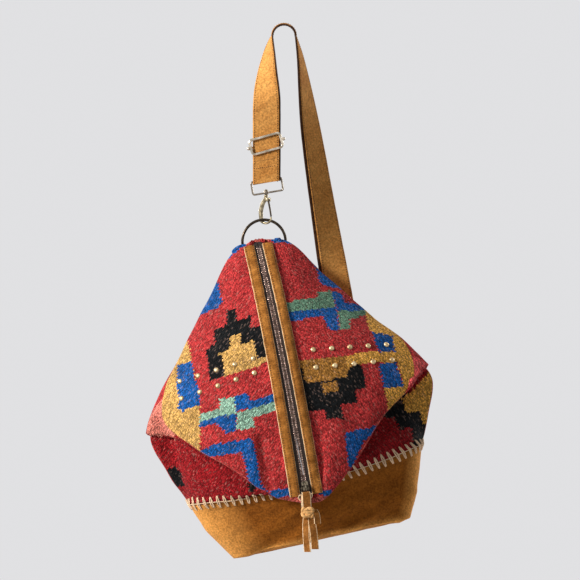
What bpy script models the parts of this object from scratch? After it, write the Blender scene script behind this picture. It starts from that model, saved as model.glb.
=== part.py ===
"""Shoulder bag of woven wool and suede, hanging by its strap.

Metres, +Z up, +X to the right as seen from the front, +Y towards the wall behind it.
The origin is the seat of the strap, where its inner face rests on what it hangs on.
"""

import math

import bmesh
import bpy
from mathutils import Matrix, Vector
from mathutils.bvhtree import BVHTree

MM = 0.001
GAP = 0.3 * MM  # left between pieces that touch

# Bag body. The guide points below are drawn for DRAWN_SIZE and stretched to these sizes.
BAG_WIDTH = 348 * MM
BAG_DEPTH = 142 * MM
BAG_HEIGHT = 402 * MM
DRAWN_SIZE = (348, 142, 402)
DRAWN_TOP = (-29, 0, -271)  # middle of the top edge in the drawn guide points
WOOL_THICKNESS = 3.0 * MM
SUEDE_THICKNESS = 1.8 * MM
SEAM_GAP = 1.6 * MM  # between the wool's lower edge and the suede base
HALVES_GAP = 1.6 * MM  # between the two wool halves at the middle of front and back

# Zip
ZIP_RISE = 26 * MM  # how far the zip bows out of the line between its ends
TEETH_WIDTH = 6.0 * MM
TEETH_THICKNESS = 2.4 * MM
TEETH_PITCH = 8.0 * MM
TAPE_THICKNESS = 0.8 * MM
STRIP_WIDTH = 13 * MM
STRIP_OVER_TAPE = 5.5 * MM  # part of each strip that lies over the tape
STRIP_SINK = 4.0 * MM  # most that its outer part goes down with the wool
ZIP_SHOW_TOP = 10.5 * MM  # opening between the strips at the top end
ZIP_SHOW_END = 15.0 * MM  # and at the lower end
SLIDER_LENGTH = 11 * MM
SLIDER_PLATE = 1.2 * MM
SLIDER_LIP = 0.7 * MM
WEDGE_WIDTH = 1.0 * MM  # of the post between the two rows
WEDGE_LENGTH = 2.4 * MM
WEDGE_ROOM = WEDGE_LENGTH + 3.1 * MM  # zip length left without teeth at its lower end
STOP_ROOM = 2.0 * MM  # between the slider and the zip's lower end
STOP_WIRE = 1.8 * MM
STOP_WIDTH = 10 * MM
BRIDGE_WIRE = 1.4 * MM
BRIDGE_CLEAR = 2.9 * MM  # under the bridge
THONG_THICKNESS = 2.0 * MM
THONG_LENGTH = 78 * MM
THONG_TAIL_WIDTH = 7.0 * MM
KNOT_WIDTH = 18 * MM
KNOT_DEPTH = 11 * MM

# Strap
STRAP_WIDTH = 33 * MM
STRAP_THICKNESS = 2.4 * MM
STRAP_END_THICKNESS = 1.6 * MM
SEAT_RADIUS = 13.5 * MM  # inner bend of the strap where it hangs
LEFT_DROP = 197 * MM  # from the seat to the fold at the clasp
STRAND_X = -22.5 * MM
STRAND_Y = 10 * MM
TWIST_START = 0.53  # share of the drop below which the left strand is straight
FOLD_TILT = math.radians(9.5)

# Slide buckle
SLIDE_DROP = 148 * MM  # from the seat to the centre bar
SLIDE_TILT = math.radians(15.8)
SLIDE_HEIGHT = 21 * MM
SLIDE_WIRE = 2.6 * MM
SLIDE_BAR = 2.4 * MM
SLIDE_KNOB = 4.6 * MM
SEWN_LENGTH = 33 * MM  # of the strap end below the centre bar

# Clasp
CLASP_WIRE = 2.4 * MM
CLASP_HEIGHT = 16.2 * MM
BOSS_DIAMETER = 6.4 * MM
BOSS_HEIGHT = 4.4 * MM
STEM_DIAMETER = 2.6 * MM
HOOK_WIRE = 3.0 * MM
HOOK_LENGTH = 36 * MM  # from the boss to the middle of the bow
HOOK_WIDTH = 16 * MM  # between the middles of the two limbs
HOOK_TURN = math.radians(-37)  # plane of the hook about the vertical
GATE_WIRE = 2.2 * MM
GATE_BARREL = 3.8 * MM
GATE_PIN = 1.3 * MM

# Ring and its tab
RING_WIRE = 4.0 * MM
RING_DIAMETER = 58 * MM
RING_SHIFT = -2.5 * MM  # ring centre beside the hook
RING_SHOW = 1.0 * MM  # ring centre below the bag's top edge
RING_PLAY = 0.8 * MM  # between the hook's bow and the ring
BAG_SHIFT = -4 * MM  # middle of the bag's top edge beside the ring centre
TAB_WIDTH = 14 * MM
TAB_THICKNESS = 1.4 * MM
TAB_LENGTH = 34 * MM

# Studs
STUD_DIAMETER = 7.0 * MM
STUD_HEIGHT = 2.3 * MM
STUDS_IN_ROW = 5

# Suede patch over the strap's sewn end
PATCH_WIDTH = 46 * MM
PATCH_HEIGHT = 52 * MM
PATCH_THICKNESS = 1.6 * MM

X_AXIS = Vector((1, 0, 0))
Y_AXIS = Vector((0, 1, 0))
Z_AXIS = Vector((0, 0, 1))

# Heights that follow from the sizes above, from the seat down
FOLD_RADIUS = CLASP_WIRE / 2 + GAP + STRAP_THICKNESS / 2  # middle of the strap round the clasp
CLASP_BAR = Vector((STRAND_X, STRAND_Y + FOLD_RADIUS, -LEFT_DROP + FOLD_RADIUS + STRAP_THICKNESS / 2))
BOSS_CENTRE = CLASP_BAR - Z_AXIS * CLASP_HEIGHT
BOW_Z = BOSS_CENTRE.z - BOSS_HEIGHT / 2 - HOOK_LENGTH
RING_RADIUS = (RING_DIAMETER - RING_WIRE) / 2
RING_TOP_Z = BOW_Z + HOOK_WIRE / 2 + RING_PLAY + RING_WIRE / 2  # its wire's middle, inside the bow
RING_CENTRE = Vector((
    STRAND_X + RING_SHIFT,
    BOSS_CENTRE.y,
    RING_TOP_Z - math.sqrt(RING_RADIUS ** 2 - RING_SHIFT ** 2),
))
BAG_TOP = Vector((RING_CENTRE.x + BAG_SHIFT, 0, RING_CENTRE.z + RING_SHOW))
SLIDE_BEND = SLIDE_BAR / 2 + GAP + STRAP_END_THICKNESS / 2  # middle of the strap's end round the bar
SLIDE_CENTRE = Vector((
    STRAND_X,
    STRAND_Y + STRAP_THICKNESS / 2 + GAP + STRAP_END_THICKNESS / 2 + SLIDE_BEND,
    -SLIDE_DROP,
))

# Guide points in millimetres at the drawn size: the fold and outline of each wing,
# from the front middle round the side to the top corner
LEFT_FOLD = (
    (-14, -96, -589), (-62, -88, -557), (-112, -70, -528), (-149, -42, -498),
    (-148, -18, -455), (-122, -4, -400), (-91, 0, -338), (-65, 2, -288),
)
RIGHT_FOLD = (
    (52, -94, -590), (84, -84, -553), (122, -66, -492), (160, -42, -447),
    (153, -20, -402), (112, -4, -367), (54, 0, -316), (8, 2, -274),
)
LEFT_SIDE = ((-147, -12, -556), (-168, -12, -508))  # side outline between base and fold
RIGHT_SIDE = ((178, -12, -490), (182, -12, -440))
ZIP_TOP_POINT = (-31.5, -8, -281)
ZIP_END_POINT = (27, -98, -583)
ZIP_BOW = Vector((0.11, -1, 0))  # side to which the zip bows
ZIP_STATIONS = (1.03, 0.92, 0.80, 0.66, 0.52, 0.40, 0.28, 0.16, 0.06, -0.03)
SEAM_MIDDLE = (27, -10, -576)
BOTTOM_MIDDLE = (47, -8, -641)
STRAP_END_POINT = (108, 38, -608)
BACK_DEPTHS = ((-271, 7), (-303, 7.5), (-345, 18), (-400, 32), (-500, 44), (-680, 44))
TUCK_DEPTH = 26  # how far the wool goes back under the fold
WING_BULGE = 13 * MM
SWELL_SHARE = 0.09  # of the span between fold and zip, up to the whole bulge
WING_SLOPE = math.radians(14)  # of the wool beside the zip

STUD_ROWS = (
    ("left_upper", (-38.4, -418), (-129.8, -447)),
    ("left_lower", (-36.8, -436), (-127.5, -468)),
    ("right_upper", (36.4, -407), (127.5, -401)),
    ("right_lower", (39.6, -429), (134.5, -420)),
)


def drawn(point):
    """World point of a guide point drawn in millimetres, stretched to the bag's sizes."""
    sizes = (BAG_WIDTH, BAG_DEPTH, BAG_HEIGHT)
    return BAG_TOP + Vector(
        (p - top) * size / mark for p, top, size, mark in zip(point, DRAWN_TOP, sizes, DRAWN_SIZE)
    )


def smooth(points, t):
    """Point at fraction t along the smooth curve through all the points, which are evenly timed."""
    spans = len(points) - 1
    i = max(0, min(int(t * spans), spans - 1))
    f = t * spans - i
    b, c = points[i], points[i + 1]
    a = points[i - 1] if i > 0 else b * 2 - c
    d = points[i + 2] if i + 2 <= spans else c * 2 - b
    bend = (a * 2 - b * 5 + c * 4 - d) * (f * f)
    return (b * 2 + (c - a) * f + bend + (b * 3 - a - c * 3 + d) * f ** 3) * 0.5


def steps(count):
    """Fractions 0 to 1 in count equal steps."""
    return [i / count for i in range(count + 1)]


def ramp(pairs, at):
    """Value at a place between the (place, value) pairs, which run downwards."""
    for (p, v), (q, w) in zip(pairs, pairs[1:]):
        if at >= q:
            break
    f = min(max((p - at) / (p - q), 0), 1)
    return v + (w - v) * f


class Zip:
    """The zip's line: an arc from the top edge to the fold, with places measured from it."""

    def __init__(self):
        top, end = drawn(ZIP_TOP_POINT), drawn(ZIP_END_POINT)
        chord = end - top
        self.down = chord.normalized()
        self.out = (ZIP_BOW - self.down * ZIP_BOW.dot(self.down)).normalized()
        self.across = self.out.cross(self.down)
        self.radius = (chord.length ** 2 / 4 + ZIP_RISE ** 2) / (2 * ZIP_RISE)
        self.half_angle = math.asin(chord.length / 2 / self.radius)
        self.centre = (top + end) / 2 - self.out * (self.radius - ZIP_RISE)
        self.length = 2 * self.half_angle * self.radius

    def frame(self, s):
        """Outward and downward directions at fraction s of the zip, 0 at the top."""
        angle = (2 * s - 1) * self.half_angle
        outward = self.out * math.cos(angle) + self.down * math.sin(angle)
        downward = self.down * math.cos(angle) - self.out * math.sin(angle)
        return outward, downward

    def point(self, s, aside=0.0, height=0.0):
        """Place at fraction s, aside along the across direction and height above the tape's middle."""
        outward, _ = self.frame(s)
        return self.centre + outward * (self.radius + height) + self.across * aside

    def strip_edge(self, s):
        """Half the opening between the strips."""
        f = min(max(s, 0), 1)
        return (ZIP_SHOW_TOP + (ZIP_SHOW_END - ZIP_SHOW_TOP) * f) / 2

    def wool_edge(self, s):
        return self.strip_edge(s) + STRIP_OVER_TAPE


ZIP = Zip()
WOOL_HEIGHT = TAPE_THICKNESS / 2  # the wool's outer face beside the tape, above the tape's middle
SLIDER_AT = 1 - (SLIDER_LENGTH / 2 + STOP_ROOM) / ZIP.length


def oval(middle, half_width, half_depth, angle, rise, bow):
    """Point of a rounded-rectangle loop whose height follows its width. Drawn millimetres."""
    square = 2 / 2.7
    c, s = math.cos(angle), math.sin(angle)
    u = math.copysign(abs(c) ** square, c)
    v = math.copysign(abs(s) ** square, s)
    x, y, z = middle
    return Vector((x + half_width * u, y + half_depth * v, z + rise * u + bow * u * u))


def seam_loop(angle):
    """The base seam, from the right side (angle 0) over the back to the left side."""
    return oval(SEAM_MIDDLE, 145, 52, angle, 37.5, 12.5)


def bottom_loop(angle):
    return oval(BOTTOM_MIDDLE, 110, 34, angle, 25.5, -1.5)


class Wing:
    """One half of the wool body: a smooth net from the base seam, over the fold, to the zip.

    Stations run from the front middle round the side to the back middle.
    """

    def __init__(self, side, fold, side_points):
        self.side = side
        columns = [self.front_end()]
        columns += [self.front(i + 1, fold[i]) for i in range(4)]
        columns.append(self.flank(5, fold[4], side_points))
        columns += [self.back(i + 1, fold[i]) for i in range(5, 8)]
        columns.append(self.back_end())
        self.rows = list(zip(*columns))

    def seam(self, station):
        """Base seam place of a station, kept off the middle by half a gap."""
        quarter = math.pi / 2
        turns = (0, 0.32, 0.58, 0.80, 0.95, 1.04, 1.20, 1.42, 1.70, 2)
        angle = -quarter + self.side * quarter * turns[station]
        place = drawn(seam_loop(angle))
        if station in (0, 9):
            place.x = drawn(SEAM_MIDDLE).x + self.side * HALVES_GAP / 2
        return place + Z_AXIS * SEAM_GAP / 2

    def zip_rows(self, station):
        """The last two rows, beside the zip."""
        s = ZIP_STATIONS[station]
        edge = ZIP.wool_edge(s)
        aside = 14 * MM
        near = ZIP.point(s, self.side * edge, WOOL_HEIGHT)
        far = ZIP.point(s, self.side * (edge + aside), WOOL_HEIGHT - aside * math.tan(WING_SLOPE))
        return far, near

    def front(self, station, fold_point):
        seam = self.seam(station)
        fold = drawn(fold_point)
        deep = (TUCK_DEPTH, TUCK_DEPTH, 24, 14)[station - 1] / DRAWN_SIZE[1] * BAG_DEPTH
        tuck = fold + Y_AXIS * deep
        tuck.z = max(fold.z + 8 * MM, seam.z + 9 * MM)
        lower = (seam + tuck) / 2 - Y_AXIS * 4 * MM
        far, near = self.zip_rows(station)
        middle = self.swell(fold, far)
        return seam, lower, tuck, fold, middle, far, near

    def flank(self, station, fold_point, side_points):
        far, near = self.zip_rows(station)
        fold = drawn(fold_point)
        middle = self.swell(fold, far)
        lower, upper = (drawn(p) for p in side_points)
        return self.seam(station), lower, upper, fold, middle, far, near

    def back(self, station, fold_point):
        seam = self.seam(station)
        fold = drawn(fold_point)
        inward = 24 * MM * (1 if station < 8 else 0.3)
        upper = Vector((fold.x - self.side * inward, 0, fold.z - 12 * MM))
        upper.y = self.back_y(upper.z)
        lower = (seam + upper) / 2
        lower.y = self.back_y(lower.z)
        far, near = self.zip_rows(station)
        middle = self.swell(fold, far)
        return seam, lower, upper, fold, middle, far, near

    def front_end(self):
        """The front middle, up to the fold and across the lower end of the zip."""
        seam = self.seam(0)
        s = ZIP_STATIONS[0]
        edge = ZIP.wool_edge(s)
        fold = ZIP.point(s + 0.012, self.side * HALVES_GAP / 2, -3 * MM)
        tuck = Vector((seam.x, fold.y + TUCK_DEPTH / DRAWN_SIZE[1] * BAG_DEPTH, seam.z + 9 * MM))
        lower = (seam + tuck) / 2 - Y_AXIS * 3 * MM
        rest = [ZIP.point(s + 0.008, self.side * edge * f, 0) for f in (0.4, 0.75)]
        rest.append(ZIP.point(s, self.side * edge, WOOL_HEIGHT))
        return seam, lower, tuck, fold, *rest

    def back_end(self):
        """The back middle, over the top edge and across the upper end of the zip."""
        seam = self.seam(9)
        s = ZIP_STATIONS[-1]
        edge = ZIP.wool_edge(s)
        top = BAG_TOP + Vector((0, 1 * MM, 0))
        top.x = ZIP.point(s).x + self.side * HALVES_GAP / 2
        upper = Vector((top.x, 0, top.z - 32 * MM))
        upper.y = self.back_y(upper.z)
        lower = (seam + upper) / 2
        lower.y = self.back_y(lower.z)
        rest = [ZIP.point(s - 0.008, self.side * edge * f, 0) for f in (0.4, 0.75)]
        rest.append(ZIP.point(s, self.side * edge, WOOL_HEIGHT))
        return seam, lower, upper, top, *rest

    @staticmethod
    def swell(fold, far):
        """Middle of the wool between the fold and the zip, swelling more where it spans further."""
        out = min(WING_BULGE, (fold - far).length * SWELL_SHARE)
        return (fold + far) / 2 - Y_AXIS * out

    @staticmethod
    def back_y(z):
        """Depth of the back at a height."""
        drawn_z = DRAWN_TOP[2] + (z - BAG_TOP.z) * DRAWN_SIZE[2] / BAG_HEIGHT
        return ramp(BACK_DEPTHS, drawn_z) * BAG_DEPTH / DRAWN_SIZE[1]

    def point(self, along, up):
        return smooth([smooth(row, along) for row in self.rows], up)


def collection(name):
    made = bpy.data.collections.new(name)
    bpy.context.scene.collection.children.link(made)
    return made


def material(name, colour, roughness, metallic=0.0):
    made = bpy.data.materials.new(name)
    made.use_nodes = True
    shader = made.node_tree.nodes["Principled BSDF"]
    shader.inputs["Base Color"].default_value = (*colour, 1)
    shader.inputs["Roughness"].default_value = roughness
    shader.inputs["Metallic"].default_value = metallic
    return made


def add_object(name, mesh, finish):
    obj = bpy.data.objects.new(name, mesh)
    PARTS.objects.link(obj)
    mesh.materials.append(finish)
    return obj


def set_origin(obj, place):
    """Move an object's origin, which a moving piece has on its joint's axis."""
    obj.data.transform(Matrix.Translation(-place))
    obj.location = place


def grid_mesh(name, points, closed=False, flip=False):
    """Surface through a grid of points, whose second direction may be closed."""
    rows, columns = len(points), len(points[0])
    faces = []
    for i in range(rows - 1):
        for j in range(columns if closed else columns - 1):
            k = (j + 1) % columns
            face = (i * columns + j, i * columns + k, (i + 1) * columns + k, (i + 1) * columns + j)
            faces.append(face[::-1] if flip else face)
    mesh = bpy.data.meshes.new(name)
    mesh.from_pydata([p for row in points for p in row], [], faces)
    mesh.shade_smooth()
    return mesh


def thicken(obj, thickness, offset):
    """Solidify to a sheet: offset -1 grows inwards and 1 outwards."""
    modifier = obj.modifiers.new("Thickness", "SOLIDIFY")
    modifier.thickness = thickness
    modifier.offset = offset
    modifier.use_rim = True


def loft(name, sections, finish, closed=False, paired=False):
    """Solid through sections with equal numbers of points, closed into a ring or capped at both ends.

    With paired set, its two wide faces are split along the same diagonals, so stacked ribbons stay parallel.
    """
    size = len(sections[0])
    count = len(sections)
    faces = []
    for i in range(count if closed else count - 1):
        for j in range(size):
            k = (j + 1) % size
            n = (i + 1) % count
            here, beside, ahead, across = i * size + j, i * size + k, n * size + k, n * size + j
            if paired and j % 2 == 0:
                split = (here, ahead) if j == 0 else (beside, across)
                faces.append((split[0], split[1], across if j == 0 else here))
                faces.append((split[0], beside if j == 0 else ahead, split[1]))
            else:
                faces.append((here, beside, ahead, across))
    if not closed:
        faces.append(tuple(range(size))[::-1])
        faces.append(tuple((count - 1) * size + j for j in range(size)))
    mesh = bpy.data.meshes.new(name)
    mesh.from_pydata([p for section in sections for p in section], [], faces)
    face_outwards(mesh)
    return add_object(name, mesh, finish)


def face_outwards(mesh):
    bm = bmesh.new()
    bm.from_mesh(mesh)
    bmesh.ops.recalc_face_normals(bm, faces=bm.faces)
    bm.to_mesh(mesh)
    bm.free()


def ribbon_section(centre, wide, out, width, thickness):
    """Rectangle across a ribbon: wide runs over its width and out through its thickness."""
    w, t = wide * width / 2, out * thickness / 2
    return [centre - w - t, centre + w - t, centre + w + t, centre - w + t]


def ribbon(name, stations, width, thickness, finish, lift=0.0):
    """Flat strip through stations of (centre, wide, out), lifted along out."""
    sections = [ribbon_section(c + o * lift, w, o, width, thickness) for c, w, o in stations]
    return loft(name, sections, finish, paired=True)


def wire(name, points, diameter, finish, cyclic=False, resolution=2):
    """Round wire along the points, made a closed mesh."""
    curve = bpy.data.curves.new(name, "CURVE")
    curve.dimensions = "3D"
    curve.bevel_depth = diameter / 2
    curve.bevel_resolution = resolution
    curve.use_fill_caps = True
    spline = curve.splines.new("POLY")
    spline.points.add(len(points) - 1)
    for target, p in zip(spline.points, points):
        target.co = (*p, 1)
    spline.use_cyclic_u = cyclic
    guide = bpy.data.objects.new(name + "_curve", curve)
    PARTS.objects.link(guide)
    graph = bpy.context.evaluated_depsgraph_get()
    mesh = bpy.data.meshes.new_from_object(guide.evaluated_get(graph))
    bm = bmesh.new()
    bm.from_mesh(mesh)
    bmesh.ops.remove_doubles(bm, verts=bm.verts, dist=0.01 * MM)
    bmesh.ops.recalc_face_normals(bm, faces=bm.faces)
    bm.to_mesh(mesh)
    bm.free()
    bpy.data.objects.remove(guide)
    bpy.data.curves.remove(curve)
    mesh.materials.clear()
    mesh.shade_smooth()
    mesh.set_sharp_from_angle(angle=math.radians(40))
    return add_object(name, mesh, finish)


def cylinder(name, centre, axis, diameter, length, sides=20):
    """Helper cylinder in the collection of cutters."""
    mesh = bpy.data.meshes.new(name)
    bm = bmesh.new()
    turn = axis.to_track_quat("Z", "Y").to_matrix().to_4x4()
    bmesh.ops.create_cone(
        bm, cap_ends=True, segments=sides, radius1=diameter / 2, radius2=diameter / 2,
        depth=length, matrix=Matrix.Translation(centre) @ turn,
    )
    bm.to_mesh(mesh)
    bm.free()
    return cutter(name, mesh)


def ball(name, place, radius, sides=12):
    mesh = bpy.data.meshes.new(name)
    bm = bmesh.new()
    bmesh.ops.create_uvsphere(bm, u_segments=sides, v_segments=sides // 2 + 2, radius=radius, matrix=place)
    bm.to_mesh(mesh)
    bm.free()
    return cutter(name, mesh)


def block(name, place, size):
    """Helper box with its own placing matrix."""
    mesh = bpy.data.meshes.new(name)
    bm = bmesh.new()
    bmesh.ops.create_cube(bm, size=1, matrix=place @ Matrix.Diagonal((*size, 1)))
    bm.to_mesh(mesh)
    bm.free()
    return cutter(name, mesh)


def cutter(name, mesh):
    obj = bpy.data.objects.new(name, mesh)
    CUTTERS.objects.link(obj)
    obj.hide_render = True
    obj.display_type = "WIRE"
    return obj


def combine(obj, other, operation):
    """Boolean modifier that joins or cuts with a helper."""
    modifier = obj.modifiers.new(other.name, "BOOLEAN")
    modifier.operation = operation
    modifier.solver = "EXACT"
    modifier.object = other


def build_wool(name, wing, finish, across=24, up=18):
    points = [[wing.point(a, u) for a in steps(across)] for u in steps(up)]
    mesh = grid_mesh(name, points, flip=wing.side < 0)
    tree = BVHTree.FromPolygons([v.co for v in mesh.vertices], [p.vertices for p in mesh.polygons])
    thicken(add_object(name, mesh, finish), WOOL_THICKNESS, -1)
    return tree


def build_base(finish, around=38):
    """Suede cup from the seam down to its rounded, closed bottom."""
    levels = (0, 0.25, 0.5, 0.75, 0.93, 1)
    angles = [2 * math.pi * i / around for i in range(around)]
    loops = []
    for level in levels:
        swell = math.sin(math.pi * level) * 3
        loop = []
        for angle in angles:
            place = seam_loop(angle).lerp(bottom_loop(angle), level)
            place += Vector((math.cos(angle), math.sin(angle), 0)) * swell
            loop.append(drawn(place) - Z_AXIS * SEAM_GAP / 2 * (1 - level))
        loops.append(loop)
    middle = drawn(BOTTOM_MIDDLE)
    for inset, drop in ((0.86, 2 * MM), (0.45, 3 * MM)):
        inner = [p.lerp(Vector((middle.x, middle.y, p.z)), 1 - inset) for p in loops[5]]
        loops.append([p - Z_AXIS * drop for p in inner])
    mesh = grid_mesh("suede_base", loops, closed=True)
    bm = bmesh.new()
    bm.from_mesh(mesh)
    bm.verts.ensure_lookup_table()
    last = (len(loops) - 1) * around
    hub = bm.verts.new(sum((v.co for v in bm.verts[last:]), Vector()) / around)
    rim = bm.verts[last:last + around]
    for i in range(around):
        bm.faces.new((rim[i], rim[(i + 1) % around], hub))
    bmesh.ops.recalc_face_normals(bm, faces=bm.faces)
    bm.to_mesh(mesh)
    bm.free()
    mesh.shade_smooth()
    tree = BVHTree.FromPolygons([v.co for v in mesh.vertices], [p.vertices for p in mesh.polygons])
    thicken(add_object("suede_base", mesh, finish), SUEDE_THICKNESS, -1)
    return tree


def surface_height(tree, s, aside):
    """Highest place of a surface above the tape's middle, round a place on the zip."""
    heights = [WOOL_HEIGHT - STRIP_SINK]
    for ds in (-0.02, 0, 0.02):
        outward, _ = ZIP.frame(s + ds)
        for da in (-1 * MM, 0, 1 * MM):
            hit = tree.ray_cast(ZIP.point(s + ds, aside + da, 20 * MM), -outward, 30 * MM)[0]
            if hit:
                heights.append((hit - ZIP.point(s + ds, aside + da)).dot(outward))
    return max(heights)


def build_strip(name, side, tree, finish, along=20):
    """Suede strip: its inner part over the tape, its outer part on the wool."""
    rows = []
    for f in steps(along):
        s = -0.025 + 1.04 * f
        inner, edge = ZIP.strip_edge(s), ZIP.wool_edge(s)
        row = [ZIP.point(s, side * inner, WOOL_HEIGHT + 2 * GAP)]
        for aside in (edge, edge + 5 * MM, inner + STRIP_WIDTH):
            top = max(surface_height(tree, s, side * aside), WOOL_HEIGHT if aside == edge else -1)
            row.append(ZIP.point(s, side * aside, top + 2 * GAP))
        rows.append(row)
    mesh = grid_mesh(name, rows, flip=side > 0)
    thicken(add_object(name, mesh, finish), SUEDE_THICKNESS, 1)


def build_tape(name, side, finish, along=20):
    sections = []
    for f in steps(along):
        s = -0.012 + 1.017 * f
        outward, _ = ZIP.frame(s)
        near, far = TEETH_WIDTH / 2 + GAP, ZIP.wool_edge(s) - 1.1 * MM
        middle = ZIP.point(s, side * (near + far) / 2)
        sections.append(ribbon_section(middle, ZIP.across, outward, far - near, TAPE_THICKNESS))
    loft(name, sections, finish)


def build_teeth(name, side, finish):
    """One row of teeth on a cord along the tape's edge; the two rows mesh with each other."""
    flank = 0.5 * MM
    root, reach = 0.9 * MM, -0.7 * MM
    tooth = TEETH_PITCH / 2 - 2 * flank - 2 * GAP
    first = 0 if side < 0 else TEETH_PITCH / 2
    run = ZIP.length - first - 2 * MM - WEDGE_ROOM
    marks = [(0, root)]
    for i in range(int(run / TEETH_PITCH)):
        start = 2 * MM + first + i * TEETH_PITCH
        marks += [(start, root), (start + flank, reach), (start + flank + tooth, reach)]
        marks.append((start + 2 * flank + tooth, root))
    marks.append((ZIP.length - STOP_ROOM, root))
    sections = []
    for place, tip in marks:
        s = place / ZIP.length
        outward, _ = ZIP.frame(s)
        middle = ZIP.point(s, side * (TEETH_WIDTH / 2 + tip) / 2)
        width = TEETH_WIDTH / 2 - tip
        sections.append(ribbon_section(middle, ZIP.across, outward, width, TEETH_THICKNESS))
    loft(name, sections, finish)


def zip_place(s, aside=0.0, height=0.0):
    """Matrix at a place on the zip: X across, Y up along the zip, Z outward."""
    outward, downward = ZIP.frame(s)
    turn = Matrix((ZIP.across, -downward, outward)).transposed().to_4x4()
    return Matrix.Translation(ZIP.point(s, aside, height)) @ turn


def build_slider(s, finish):
    """Two plates over and under the teeth, side lips, the wedge between the rows and a bridge."""
    place = zip_place(s)
    room = TEETH_THICKNESS / 2 + GAP
    inner = TEETH_WIDTH + 2 * GAP
    wide = inner + 2 * SLIDER_LIP
    high = 2 * (room + SLIDER_PLATE)
    slider = block("zip_slider", place, (wide, SLIDER_LENGTH, high))
    bpy.data.collections["cutters"].objects.unlink(slider)
    PARTS.objects.link(slider)
    slider.hide_render = False
    slider.display_type = "TEXTURED"
    slider.data.materials.append(finish)
    edge = slider.modifiers.new("Rounded", "BEVEL")
    edge.width = 0.8 * MM
    edge.segments = 2
    combine(slider, block("slider_channel", place, (inner, SLIDER_LENGTH * 1.2, 2 * room)), "DIFFERENCE")
    slot = TAPE_THICKNESS + 2 * GAP
    combine(slider, block("slider_slot", place, (wide * 1.2, SLIDER_LENGTH * 1.2, slot)), "DIFFERENCE")
    post_at = place @ Matrix.Translation((0, (WEDGE_LENGTH - SLIDER_LENGTH) / 2 + 0.4 * MM, 0))
    combine(slider, block("slider_wedge", post_at, (WEDGE_WIDTH, WEDGE_LENGTH, high - SLIDER_PLATE)), "UNION")
    top = high / 2
    crown = top + BRIDGE_CLEAR + BRIDGE_WIRE
    arch = place @ Matrix.Translation((0, 0, (top + crown) / 2 - 0.25 * MM))
    combine(slider, block("slider_bridge", arch, (2.6 * MM, 8.5 * MM, crown - top + 0.5 * MM)), "UNION")
    hole = place @ Matrix.Translation((0, 0, top + BRIDGE_CLEAR / 2))
    combine(slider, block("slider_eye", hole, (4 * MM, 5.4 * MM, BRIDGE_CLEAR)), "DIFFERENCE")
    set_origin(slider, ZIP.centre)
    return top + BRIDGE_CLEAR / 2


def build_thong(pivot, finish):
    """Suede thong through the bridge: two legs to a knot, and two flat tails."""
    reach = TEETH_WIDTH / 2 + GAP + SLIDER_LIP + THONG_THICKNESS / 2
    leg = 30 * MM
    aside = ZIP.across
    out = (-Z_AXIS).cross(aside).normalized()
    drops = ((0.72, -leg), (1, -leg / 2), (1, -2 * MM), (0.76, 0))
    thread = [pivot - aside * reach * f + Z_AXIS * z for f, z in drops]
    thread += [pivot + aside * reach * f + Z_AXIS * z for f, z in drops[::-1]]
    thong = wire("pull_thong", thread, THONG_THICKNESS, finish)
    knot_at = pivot - Z_AXIS * leg + out * (KNOT_DEPTH / 2 - THONG_THICKNESS / 2)
    shape = Matrix.Diagonal((KNOT_WIDTH / 2, KNOT_DEPTH / 2, KNOT_WIDTH * 0.36, 1))
    combine(thong, ball("thong_knot", Matrix.Translation(knot_at) @ shape, 1, 12), "UNION")
    length = THONG_LENGTH - leg
    root_aside = THONG_TAIL_WIDTH / 2 + 0.4 * MM
    for side, share, splay in ((-1, 1.0, 0.0), (1, 0.92, 0.14)):
        root = knot_at + X_AXIS * side * root_aside - Z_AXIS * 3 * MM
        lean = Matrix.Identity(4)
        lean[0][2] = -splay
        middle = root - Z_AXIS * (length * share / 2) + X_AXIS * (splay * length * share / 2)
        size = (THONG_TAIL_WIDTH, THONG_THICKNESS, length * share)
        combine(thong, block(f"thong_tail_{side}", Matrix.Translation(middle) @ lean, size), "UNION")
    set_origin(thong, pivot)


def build_ring(finish):
    bpy.ops.mesh.primitive_torus_add(
        major_segments=40, minor_segments=8, major_radius=RING_RADIUS, minor_radius=RING_WIRE / 2,
        location=RING_CENTRE, rotation=(math.pi / 2, 0, 0),
    )
    ring = bpy.context.active_object
    ring.name = "ring"
    ring.data.name = "ring"
    ring.users_collection[0].objects.unlink(ring)
    PARTS.objects.link(ring)
    ring.data.materials.append(finish)
    ring.data.shade_smooth()


def behind(trees, x, z):
    """Depth of the bag's back at a place, seen from behind."""
    start = Vector((x, 0.3, z))
    hits = [tree.ray_cast(start, -Y_AXIS)[0] for tree in trees]
    return max((hit.y for hit in hits if hit), default=0.0)


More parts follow.
